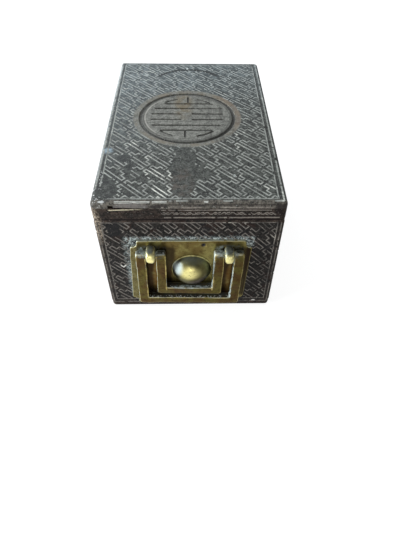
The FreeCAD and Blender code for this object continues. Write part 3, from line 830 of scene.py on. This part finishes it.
def ruled(start, end, width, swing=0.0, period=1.0):
    """A straight strip of wire cut into short lengths; swing makes it a zigzag."""
    start, end = Vector((*start, 0)), Vector((*end, 0))
    run = end - start
    level = abs(run.x) > abs(run.y)
    count = ceil(run.length / (period / 4 if swing else WIRE_STEP))
    size = (run.length * MM, width * MM, 1) if level else (width * MM, run.length * MM, 1)
    bpy.ops.mesh.primitive_grid_add(
        x_subdivisions=count if level else 1, y_subdivisions=1 if level else count,
        size=1, location=(start + end) / 2 * MM)
    bpy.context.object.scale = size
    strip = named("ruled_strip")
    if swing:
        reshape(strip, lambda x, y, z: (0, swing * (abs(4 * ((x / period) % 1) - 2) - 1), 0))
    return strip


def lay(name, flat, keep, sway, bend_seed):
    """Drop what is lost, bend the rest by hand, and give the flat wire its thickness."""
    with editing(flat):
        pick("FACE", lambda face: not keep(middle(face)))
        bpy.ops.mesh.delete(type="FACE")
        pick("FACE", lambda face: face.normal.z < 0)
        bpy.ops.mesh.flip_normals()
        bpy.ops.mesh.select_all(action="SELECT")
        bpy.ops.mesh.remove_doubles(threshold=0.01 * MM)

    def bend(x, y, z):
        broad = noise.noise_vector(Vector((x / 9, y / 9, bend_seed)))
        fine = noise.noise_vector(Vector((x / 2.2, y / 2.2, bend_seed + 7)))
        return (broad.x * sway + fine.x * 0.09, broad.y * sway + fine.y * 0.09, 0)

    reshape(flat, bend)
    finish_with(flat, "SOLIDIFY", thickness=(WIRE_PROUD + WIRE_SUNK) * MM, offset=0)
    reshape(flat, lambda x, y, z: (0, 0, (WIRE_PROUD - WIRE_SUNK) / 2))
    flat.name = name
    return outward(flat)


def lay_lines(name, strips, bare, seed, share, sway, bend_seed):
    """Join strips of line wire and lay them, less the stretches that are lost."""
    return lay(name, join(name, strips), lambda spot: not lost(spot, bare, seed, share), sway, bend_seed)


def fret_field(name, pitch, width, start, low, high, keep, seed):
    """The lattice of one face, trimmed to a rectangle."""
    strip = fret_strip(pitch, width)
    first = [floor((edge - origin) / pitch) - 1 for edge, origin in zip(low, start)]
    counts = [ceil((far - near) / pitch) + 3 for near, far in zip(low, high)]
    reshape(strip, lambda x, y, z: (start[0] + first[0] * pitch, start[1] + first[1] * pitch, 0))
    for axis in (0, 1):
        step = Vector()
        step[axis] = pitch * MM
        finish_with(strip, "ARRAY", count=counts[axis], use_relative_offset=False,
                    use_constant_offset=True, constant_offset_displace=step)
    with editing(strip):
        for edges, sign in ((low, -1), (high, 1)):
            for axis in (0, 1):
                plane_cut(axis, edges[axis], sign, clear_outer=True)
    return lay(name, strip, keep, 0.22, seed)


def lost(spot, patches, seed, share):
    """True where the wire has come out: in the bare patches, and in short breaks elsewhere."""
    x, y = spot.x, spot.y
    ragged = 0.35 * rough(x / 3, y / 3, seed)
    for centre_x, centre_y, radius_x, radius_y in patches:
        if hypot((x - centre_x) / radius_x, (y - centre_y) / radius_y) < 1 + ragged:
            return True
    return rough(x / 2.6, y / 2.6, seed + 3) > share


def border(low, high, width):
    """Four strips round a rectangle."""
    return [ruled(low, (high[0], low[1]), width), ruled((low[0], high[1]), high, width),
            ruled(low, (low[0], high[1]), width), ruled((high[0], low[1]), high, width)]


def half_and_out(side, x, y):
    """A side's half width, and how far out it stands, from the box's own half sizes."""
    return (x, y) if side in ENDS else (y, x)


def stand(piece, side, out):
    """Stand a flat piece up against one side of the box."""
    piece.rotation_euler = (radians(90), 0, radians(SIDES[side]))
    piece.location = Matrix.Rotation(radians(SIDES[side]), 3, "Z") @ Vector((0, -out * MM, 0))
    only(piece)
    bpy.ops.object.transform_apply(location=True, rotation=True)
    return piece


# ---------------------------------------------------------------- lid
def make_lid_top(material):
    """Panel with a rounded edge and a raised field below, cut with the barred medallion."""
    low, high = corners("lid_panel")
    joint, top = high.z - PANEL_THICK, high.z
    piece = block("lid_top", (low.x, low.y, joint), high)
    with editing(piece):
        round_edges(lambda edge: span(edge, 2) > 1, LID_CORNER, 6)
        round_edges(lambda edge: all(abs(corner.co.z / MM - top) < 0.01 for corner in edge.verts),
                    PANEL_ROUND, 6)
        pick("FACE", lambda face: face.normal.z < -0.9)
        bpy.ops.mesh.inset(thickness=(high.x - FIELD_HALF) * MM)
        extrude((0, 0, (low.z - joint) * MM))
        slices(0, low.x, high.x, 5)
        slices(1, low.y, high.y, 5)
    outward(piece)
    cut(piece, medal_cutter(top), crossing=True)
    cut(piece, chip_cutter(low, joint))
    cut(piece, split_cutter(low, joint))
    return ready(smooth(outward(piece), 40), "lid", material, "dark_wood", "lid_panel")


def medal_cutter(top):
    """The ring and bars that are cut into the panel."""
    centre = Vector((*MEDAL, top))
    lifted = centre + Vector((0, 0, GROOVE_LIFT))
    parts = [torus("ring_cutter", lifted, MEDAL_RADIUS, GROOVE_RADIUS, 128, 16)]
    bars = [(-14.5, 17, 16.0), (-20.7, 22.4, 10.0), (-22.4, -3.5, 3.4), (2.8, 22.6, 3.4),
            (-22.4, -3.5, -3.2), (2.8, 22.6, -3.2), (-21.6, 20.6, -9.9), (-16.3, 15.4, -15.5)]
    for left, right, offset in bars:
        parts.append(bar_cutter(centre, (left, offset - BAR_WIDTH / 2), (right, offset + BAR_WIDTH / 2)))
    for across, low, high in ((0.4, 17, 25.2), (-1.2, -23.4, -16)):
        left, right = across - UPRIGHT_WIDTH / 2, across + UPRIGHT_WIDTH / 2
        parts.append(bar_cutter(centre, (left, low), (right, high)))
    for start, end in ((45, 74), (106, 129), (-76, -45), (-135, -112)):
        parts.append(arc_cutter(centre, start, end))
    return join("medal_cutter", parts)


def bar_cutter(centre, low, high):
    """A bar with its lower edges and ends rounded."""
    piece = block("bar_cutter", (centre.x + low[0], centre.y + low[1], centre.z - BAR_DEPTH),
                  (centre.x + high[0], centre.y + high[1], centre.z + BAR_DEPTH))
    with editing(piece):
        round_edges(lambda edge: min(corner.co.z for corner in edge.verts) < centre.z * MM, BAR_EDGE)
    return piece


def arc_cutter(centre, start, end):
    """A short round groove along the ring, between two angles in degrees."""
    piece = torus("arc_cutter", centre + Vector((0, 0, ARC_LIFT)), ARC_RADIUS, ARC_GROOVE, 96, 10)
    for angle, way in ((start, -1), (end, 1)):
        side = Matrix.Rotation(radians(angle + 90), 3, "Z") @ Vector((way, 0, 0))
        with editing(piece):
            trim(centre, side)
    return piece


def chip_cutter(low, joint):
    """A ragged wedge knocked out of the front edge."""
    piece = block("chip_cutter", (CHIP_LEFT, low.y - 1, joint - 1), (CHIP_RIGHT, low.y + 2.1, joint + 2))
    with editing(piece):
        slices(2, joint - 1, joint + 2, 1)
        round_edges(lambda edge: middle(edge).y > low.y + 2, 0.7, 2)
    wobble(piece, 1.1, 1.3)
    return piece


def split_cutter(low, joint):
    """A long splinter gone from under the front edge, deepest beside the chip."""
    near, far = (SPLIT_LEFT, low.y - 1, joint - 1), (SPLIT_RIGHT, low.y + 1.8, joint + 0.8)
    piece = block("split_cutter", near, far)
    with editing(piece):
        slices(0, SPLIT_LEFT, SPLIT_RIGHT, 2)

    def taper(x, y, z):
        share = (x - SPLIT_LEFT) / (SPLIT_RIGHT - SPLIT_LEFT)
        back = -1.3 * share if y > low.y else 0
        down = -(z - joint) * share * 0.9 if z > joint else 0
        return (0, back + 0.3 * rough(x / 2, 4, 2), down + 0.25 * rough(x / 2, 1, 5))

    reshape(piece, taper)
    return outward(piece)


def make_top_wire(material, bright):
    """Lattice and border lines let into the lid, and the stretches of line that are still bright, their
    near-white finish partly a painted highlight along the rounded front edge.
    """
    low, high = corners("lid_panel")
    right, back = high.x - LINE_INNER, high.y - LINE_INNER
    near, far = (-right - 0.6, low.y + LINE_FRONT), (right - 0.2, back)
    patches = ((-3, -52, 7.5, 24), (5, -55, 7, 6), (-44, -70, 7, 12), (-37, -41, 5, 4), (-25, -60, 3, 3.5),
               (-33, -52, 2, 4))

    def keep(spot):
        if (spot.xy - MEDAL).length < MEDAL_BAND:
            return False
        if spot.y > FOOT_FROM and abs((spot.xy - FOOT_MARK).length - FOOT_RADIUS) < FOOT_LINE:
            return False
        return not lost(spot, patches, 5.0, 0.46 - 0.1 * clamped((spot.y - 10) / 40))

    lattice = fret_field("lid_lattice", TOP_PITCH, TOP_WIRE, TOP_START, near, far, keep, 1.0)
    inner = border(near, far, TOP_WIRE)
    right, back = high.x - LINE_OUTER, high.y - LINE_OUTER
    outer = border((-right - 0.3, -back), (right - 0.1, back), OUTER_WIRE)
    bare = ((33, -78, 12, 1.2), (7, -78, 9, 1.2), (-46, -74, 5, 7), (-20, 77, 12, 2), (-30, -78, 22, 1.5))
    lines = lay_lines("lid_border", inner + outer, bare, seed=8.0, share=0.5, sway=0.12, bend_seed=2.0)
    # these stretches on the front rounded edge take the near-white bright_wire finish, partly a painted
    # highlight
    runs = [ruled((start, BRIGHT_LINE), (end, BRIGHT_LINE), BRIGHT_WIRE)
            for start, end in ((-37.8, -11.6), (7.4, 9.4))]
    shiny = lay_lines("lid_bright_line", runs, (), seed=9.0, share=0.4, sway=0.15, bend_seed=6.0)
    for piece, finish in ((lattice, material), (lines, material), (shiny, bright)):
        reshape(piece, lambda x, y, z: (0, 0, high.z - edge_drop(high.y, y)))
        ready(piece, "lid", finish, "silver_wire")


def edge_drop(reach, at):
    """How far the panel's rounded edge has fallen at a place, in millimetres."""
    inward = PANEL_ROUND - max(0.0, abs(at) - (reach - PANEL_ROUND))
    return PANEL_ROUND - sqrt(max(0.0, PANEL_ROUND ** 2 - (PANEL_ROUND - inward) ** 2))


def make_rail_wire(side, material):
    """A band along the panel's edge, and lines with a plaited zigzag between let into one lid rail."""
    rail = corners(f"lid_{side}_rail")[1]
    reach = corners("lid_panel")[1]
    half, out = half_and_out(side, reach.x, reach.y)
    run = half - RAIL_END

    def level(drop, width, *zigzag):
        return ruled((-run, rail.z - drop), (run, rail.z - drop), width, *zigzag)

    strips = [level(drop, width) for drop, width in RAIL_LINES]
    strips.append(level(PLAIT_DROP, PLAIT_WIDTH, 1.1, PLAIT_PERIOD))
    bare = ((-32, 79, 19, 9), (11, 82.2, 4.3, 0.8), (46, 80, 4, 3)) if side == "front" else ()
    lines = lay_lines("lines", strips, bare, seed=11.0 + SIDES[side], share=0.4, sway=0.12, bend_seed=3.0)
    plait = [level(PLAIT_DROP, PLAIT_WIDTH, -1.0, PLAIT_PERIOD)]
    plait = lay_lines("plait", plait, bare, seed=17.0 + SIDES[side], share=0.05, sway=0.2, bend_seed=8.0)
    piece = join(f"lid_{side}_rail_wire", [lines, plait])
    stand(piece, side, out)
    return ready(piece, "lid", material, "silver_wire")


def make_side_wire(side, material):
    """Lattice and borders let into one side of the box."""
    high = corners(f"{side}_board")[1]
    width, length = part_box("right_board")[1].x / MM, -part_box("front_board")[0].y / MM
    half, out = half_and_out(side, width, length)
    outer, inner, top, foot = half - SIDE_OUTER, half - SIDE_INNER, high.z - SIDE_TOP, SIDE_FOOT

    def keep(spot):
        if side in ENDS and abs(spot.x) < FITTING_HALF and FITTING_FOOT < spot.y < FITTING_TOP:
            return False
        return not lost(spot, ((-40, 66, 4, 4),) if side == "front" else (), 21.0 + SIDES[side], 0.45)

    near, far = (-inner, foot), (inner, top)
    lattice = fret_field(f"{side}_lattice", END_PITCH, SIDE_WIRE, END_START, near, far, keep,
                         4.0 + SIDES[side])
    lines = border(near, far, SIDE_WIRE)
    lines += [ruled((x, foot - SIDE_GAP), (x, top), SIDE_WIRE) for x in (-outer, outer)]
    lines.append(ruled((-outer, foot - SIDE_GAP), (outer, foot - SIDE_GAP), SIDE_WIRE))
    lines = lay_lines(f"{side}_border", lines, (), seed=31.0, share=0.45, sway=0.1, bend_seed=5.0)
    for piece in (lattice, lines):
        stand(piece, side, out)
        ready(piece, "case", material, "silver_wire")


# ---------------------------------------------------------------- brass fitting
def finish_brass(piece, body, material, node, angle=50):
    """Mark a piece of brass for its tarnish, smooth it and hand it over."""
    return ready(smooth(mark(piece), angle), body, material, "aged_brass", node)


def make_plate(face, material):
    """Cut and filed back plate with stepped corners."""
    low, high = corners("front_plate")
    piece = block("front_plate_brass", (low.x, face - PLATE_THICK, low.z), (high.x, face, high.z))
    across, rise = PLATE_NOTCH
    for left in (low.x - 1, high.x - across):
        for bottom in (low.z - 1, high.z - rise):
            far = (left + across + 1, face + 1, bottom + rise + 1)
            cut(piece, block("notch", (left, face - 3, bottom), far))
    with editing(piece):
        round_edges(lambda edge: span(edge, 1) > 1, PLATE_CORNER, 4)
        pick("FACE", lambda part: part.normal.y < -0.9)
        bpy.ops.mesh.inset(thickness=PLATE_RIM * MM)
        slices(0, low.x, high.x, 2.5)
        slices(2, low.z, high.z, 2.5)
        round_edges(lambda edge: edge.calc_face_angle(0) > 0.8 and middle(edge).y < face - 1, PLATE_EDGE)
    cut(piece, ball("dent", Vector((DENT.x, face - PLATE_THICK - 0.2, DENT.y)), DENT_RADIUS, 24, 16))
    outward(piece)

    def lean(x, y, z):
        taper = max(0.0, -x) / high.x * (0.2 + 1.4 * (z - low.z) / (high.z - low.z))
        return (PLATE_LEAN * (z - high.z) + taper + 0.25 * rough(x / 7, 1.7, z / 7), 0,
                0.2 * rough(x / 7, 9.1, z / 7))

    reshape(piece, lean)
    wobble(piece, 0.1, 7)
    return finish_brass(piece, "case", material, "front_plate", 35)


def make_boss(face, material):
    """Raised dome with a thin lip, and its riveted shank inside the board."""
    front = face - PLATE_THICK
    radius = (BOSS_RADIUS ** 2 + BOSS_RISE ** 2) / (2 * BOSS_RISE)
    centre = Vector((BOSS_SLIP, front - BOSS_RISE + radius, BOSS_HEIGHT))
    piece = ball("front_boss_brass", centre, radius, 56, 36, ALONG_Y)
    with editing(piece):
        trim((0, front, 0), (0, 1, 0))
    wobble(piece, 0.16, 3.4)
    lip = rod("lip", (BOSS_SLIP, front - 0.1, BOSS_HEIGHT), BOSS_RADIUS + BOSS_LIP, LIP_THICK, ALONG_Y, 56)
    with editing(lip):
        round_edges(lambda edge: abs(middle(edge).y - front + 0.4) < 0.02, LIP_EDGE)
    inner = -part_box("front_boss")[1].y / MM
    shank = rod("shank", (0, (front + 0.4 - inner) / 2, BOSS_HEIGHT), PIN_RADIUS, -inner - front - 0.4,
                ALONG_Y, 20)
    peen = rod("peen", (0, -inner - PEEN_RISE / 2, BOSS_HEIGHT), PEEN_RADIUS, PEEN_RISE, ALONG_Y, 20)
    with editing(peen):
        round_edges(lambda edge: abs(middle(edge).y + inner) < 0.02, 0.5, 2)
    piece = join("front_boss_brass", [piece, lip, shank, peen])
    return finish_brass(outward(piece), "case", material, "front_boss")


def eye(name, pivot):
    """A ring with rounded outer edges: its section, spun round the bail's axis."""
    deep = EYE_RADIUS - PIN_RADIUS - PIN_PLAY
    place = pivot + Vector((0, 0, EYE_RADIUS - deep / 2))
    bpy.ops.mesh.primitive_plane_add(size=1, location=place * MM, rotation=ALONG_Y)
    bpy.context.object.scale = (POST_WIDTH * MM, deep * MM, 1)
    piece = named(name)
    with editing(piece):
        pick("VERT", lambda corner: corner.co.z > place.z * MM)
        bevel(EYE_ROUND, 7, "VERTICES")
        bpy.ops.mesh.select_all(action="SELECT")
        bpy.ops.mesh.delete(type="ONLY_FACE")
        bpy.ops.mesh.select_all(action="SELECT")
        bpy.ops.mesh.spin(steps=40, angle=radians(360), center=pivot * MM, axis=(1, 0, 0))
    return outward(piece)


def make_post(face, hand, name, sag, material):
    """Split pin: rolled eye over the bail's neck, legs through the board and clinched tails."""
    front, inside = face - PLATE_THICK, face + BOARD_THICK
    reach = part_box("front_bail")[1].x / MM
    pivot = Vector((hand * (reach - OUTER_ARM - ARM_GAP / 2), face - PIVOT_OUT, PIVOT_HEIGHT))
    piece = eye(f"front_{name}_post_brass", pivot)
    with editing(piece):
        trim((0, front, 0), (0, 1, 0))

    def taper(x, y, z):
        share = clamped((pivot.z + 2 - z) / 7)
        outside = clamped((hypot(y - pivot.y, z - pivot.z) - PIN_RADIUS - 0.4) / 2)
        swell = clamped((pivot.y - 2.6 - y) / 1.5)
        return ((x - pivot.x) * (0.12 * swell - 0.2 * share), 0, sag * outside)

    reshape(piece, taper)
    leg = rod("leg", (pivot.x, (front + inside) / 2, pivot.z), LEG_RADIUS, inside - front, ALONG_Y, 20)
    low, high = pivot.z - TAIL_REACH, pivot.z + TAIL_REACH
    tails = block("tails", (pivot.x - TAIL_HALF, inside, low),
                  (pivot.x + TAIL_HALF, inside + TAIL_THICK, high))
    with editing(tails):
        slices(2, low, high, 2)
        round_edges(lambda edge: middle(edge).y > inside + 1.3, 0.5, 2)
    reshape(tails, lambda x, y, z: (-(x - pivot.x) * 0.5 * (abs(z - pivot.z) / TAIL_REACH) ** 2, 0, 0))
    piece = join(piece.name, [piece, leg, tails])
    wobble(piece, 0.12, 2.1, hand * 3.0)
    return finish_brass(outward(piece), "case", material, f"front_{name}_post")


def bail_loop(name, half, arm, low, bar, top, middle_y, thick):
    """One square-section loop, open at the top: a bar with two arms extruded from it."""
    near, far = middle_y - thick / 2, middle_y + thick / 2
    piece = block(name, (-half, near, low), (half, far, low + bar))
    with editing(piece):
        for x in (-half + arm, half - arm):
            plane_cut(0, x)
        pick("FACE", lambda face: face.normal.z > 0.9 and abs(middle(face).x) > half - arm)
        extrude((0, 0, (top - low - bar) * MM))
        round_edges(lambda edge: abs(middle(edge).x) > half - 0.1 and abs(middle(edge).z - low) < 0.1
                    and span(edge, 1) > 1, BAIL_CORNER, 4)
        round_edges(lambda edge: abs(middle(edge).z - top) < 0.1 and span(edge, 1) > 1, ARM_TOP, 4)
        round_edges(lambda edge: middle(edge).z > top - ARM_TOP - 0.05 and span(edge, 1) < 0.1,
                    ARM_TOP_EDGE, 4)
        slices(2, low, top, 2.6)
        slices(0, -half, half, 2.6)
        edge_loops(0, (-half, -half + arm, half - arm, half))
        edge_loops(1, (near, far))
        edge_loops(2, (low, low + bar))
        round_edges(lambda edge: edge.calc_face_angle(0) > 0.9, BAIL_EDGE)
    return outward(piece)


def make_bail(face, material):
    """Two loops, one inside the other, on round necks that turn in the eyes."""
    low, high = corners("front_bail")
    pivot_y = face - PIVOT_OUT
    thick = high.y - low.y
    outer = bail_loop("front_bail_brass", high.x, OUTER_ARM, PIVOT_HEIGHT - OUTER_DROP, OUTER_BAR, high.z,
                      pivot_y, thick)
    inner_half = high.x - OUTER_ARM - ARM_GAP
    inner = bail_loop("inner_loop", inner_half, INNER_ARM, PIVOT_HEIGHT - INNER_DROP, INNER_BAR, high.z,
                      pivot_y, thick)
    piece = join("front_bail_brass", [outer, inner])

    def skew(x, y, z):
        share = clamped((PIVOT_HEIGHT - 3 - z) / 20)
        return (-0.9 * (PIVOT_HEIGHT - z) / 40 * share, 0, -0.022 * x * share)

    reshape(piece, skew)
    wobble(piece, 0.3, 6)
    necks = [rod("neck", (hand * (inner_half + ARM_GAP / 2), pivot_y, PIVOT_HEIGHT), PIN_RADIUS, ARM_GAP + 2,
                 ALONG_X, 24) for hand in (-1, 1)]
    piece = join("front_bail_brass", [piece] + necks)
    return finish_brass(outward(piece), "front_bail", material, "front_bail")


def make_fitting():
    """The brass of the front end, and its copy turned round for the back end."""
    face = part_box("front_board")[0].y / MM
    plate = brass("plate_brass", (106, 91, 50), (136, 128, 76), (160, 148, 88), mottled=0.45,
                  rubbed_and_lit_at=(11, -81, 28.4), rubbed_and_lit_radii=(2.6, 3, 2.4), grey_and_shade_left=0.8,
                  shaded=(-24.4, -13.6, 18.6, 29.4, 32.2), brown_shade_at=(7.2, -81, 56.5),
                  brown_shade_size=1.7, pit_at=(DENT.x, -80.9, DENT.y))
    boss = brass("boss_brass", (76, 74, 44), (108, 104, 66), (232, 222, 150), dust_shade=(84, 90, 78),
                 crumbs=(0.7, 0.8), mottled=0.2, rubbed_and_lit_at=(-0.6, -88, 40.2), rubbed_and_lit_radii=(7.2, 6, 5),
                 left_highlight=0.0, glint_at=(-7.6, -84.2, 41), brown_shade_at=(5, -86, 30), brown_shade_size=8)
    post = brass("post_brass", (96, 92, 64), (130, 124, 84), (252, 242, 170), dust_shade=(84, 94, 94),
                 crumbs=(0.66, 0.76), worn_below=0.9, left_highlight=0.25)
    bail = brass("bail_brass", (80, 60, 28), (92, 84, 38), (186, 170, 106), crumbs=(0.55, 0.59))
    pieces = [make_plate(face, plate), make_boss(face, boss), make_bail(face, bail),
              make_post(face, -1, "left", 0.3, post), make_post(face, 1, "right", -0.5, post)]
    for piece in pieces:
        name = piece.name.replace("front", "back")
        copy = turned_copy(piece, name)
        del copy["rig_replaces"]
        body = "back_bail" if "bail" in name else "case"
        copy.parent = None
        ready(copy, body, piece.data.materials[0], "aged_brass", name.removesuffix("_brass"))


# ---------------------------------------------------------------- what keeps its own shape
def paint_nodes():
    """Finish the nodes whose shape is already right."""
    sides = side_wood()
    inside = plain_wood("inner_wood", (92, 60, 38), (136, 94, 62))
    tray = plain_wood("tray_wood", (104, 70, 44), (150, 106, 70))
    ends = plain_wood("end_wood", (92, 60, 38), (136, 94, 62), axis=0)
    finishes = {
        "ink_stone": stone_slate(), "ink_stick": ink_cake(), "tray": tray, "stone_bed": inside,
        "base_board": inside,
    }
    for hand in ("left", "right"):
        finishes[f"{hand}_ledge"] = inside
        finishes[f"{hand}_lip"] = inside
    washer = brass("washer_brass", (92, 74, 42), (108, 102, 62), (150, 136, 84))
    for side in SIDES:
        finishes[f"{side}_board"] = sides
        finishes[f"lid_{side}_rail"] = sides
    for end in ENDS:
        finishes[f"{end}_lip"] = ends
        finishes[f"{end}_rove"] = washer
    for name, material in finishes.items():
        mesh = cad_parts[name].data
        mesh.materials.clear()
        mesh.materials.append(material)


# ---------------------------------------------------------------- stage
def in_sight(start, mirrored):
    """1 to the camera and through glass, and as much as is given in a reflection."""
    camera, glass, glossy = (start.node("LightPath", out=f"Is {kind} Ray")
                             for kind in ("Camera", "Transmission", "Glossy"))
    return camera.most(glass).most(glossy * mirrored)


def make_floor():
    """Pale floor: white to the eye, and soft shadows under the box."""
    bpy.ops.mesh.primitive_plane_add(size=30, location=(0, 0, -0.0002))
    floor_plane = named("floor")
    material = bpy.data.materials.new("pale_floor")
    start = emptied(material)
    matte = start.node("BsdfDiffuse", None, {"Color": (0.3, 0.3, 0.3, 1)})
    across = axis_of(start.node("TexCoord", out="Object"), "X")
    seen = in_sight(start, 1 - across.rise(-0.05, 0.12) * 0.7)
    glow = start.node("Emission", None, {"Color": (1, 1, 1, 1), "Strength": seen * 0.88})
    start.node("OutputMaterial", None, {"Surface": start.node("AddShader", None, {0: matte, 1: glow})})
    floor_plane.data.materials.append(material)


def make_lamp(name, place, aim, size, energy, colour):
    lamp = bpy.data.lights.new(name, "AREA")
    lamp.shape = "RECTANGLE"
    lamp.size, lamp.size_y = size
    lamp.energy = energy
    lamp.color = colour
    holder = bpy.data.objects.new(name, lamp)
    holder.location = place
    holder.rotation_euler = (Vector(place) - Vector(aim)).to_track_quat("Z", "Y").to_euler()
    bpy.context.scene.collection.objects.link(holder)


def make_light():
    """Windows to the left, behind and overhead, a weak one in front, and a dim room."""
    centre = (0, 0, 0.05)
    make_lamp("high_window", (-0.2, 0.5, 1.3), centre, (1.6, 1.2), 8.0, (0.94, 0.98, 1.0))
    make_lamp("back_window", (-0.8, 1.1, 0.42), centre, (1.1, 0.7), 9.0, (0.9, 0.96, 1.0))
    make_lamp("left_window", (-1.15, -0.42, 0.3), centre, (0.5, 0.45), 16.0, (0.95, 0.98, 1.0))
    make_lamp("front_window", (-0.1, -1.1, 0.3), centre, (0.7, 0.25), 1.6, (1.0, 0.98, 0.94))
    world = bpy.data.worlds.new("studio")
    start = emptied(world)
    bright = 0.22 + in_sight(start, 0.3) * 0.78
    sky = start.node("Background", None, {"Color": (1, 1, 1, 1), "Strength": bright})
    start.node("OutputWorld", None, {"Surface": sky})
    bpy.context.scene.world = world


def make_camera():
    camera = bpy.data.cameras.new("camera")
    camera.sensor_fit = "VERTICAL"
    camera.sensor_height = 36
    camera.sensor_width = 36
    camera.lens = 28.503
    camera.clip_start = 0.01
    holder = bpy.data.objects.new("camera", camera)
    holder.location = (0.001596, -0.246941, 0.225565)
    holder.rotation_euler = (radians(40.721), radians(-0.964), radians(-1.284))
    bpy.context.scene.collection.objects.link(holder)
    bpy.context.scene.camera = holder


def main():
    bpy.context.scene.view_settings.view_transform = "Standard"
    make_camera()
    make_light()
    make_floor()
    paint_nodes()
    make_lid_top(lid_wood())
    polished = (((-17, -56, LID_TOP), (9, 6, 9)), ((-15, -70, LID_TOP), (6, 6, 9)))
    top_wire = silver("top_wire", (130, 134, 129), (184, 188, 183), (232, 234, 226), polished, 0.4, 0.4)
    bright_wire = silver("bright_wire", (190, 192, 186), (222, 224, 218), (240, 240, 234))
    side_wire = silver("side_wire", (88, 83, 78), (156, 150, 142), (214, 208, 196), smoked=0.8)
    rail_wire = silver("rail_wire", (108, 102, 95), (170, 162, 152), (216, 210, 198), smoked=0.5)
    make_top_wire(top_wire, bright_wire)
    for side in SIDES:
        make_rail_wire(side, rail_wire)
        make_side_wire(side, side_wire)
    make_fitting()


main()
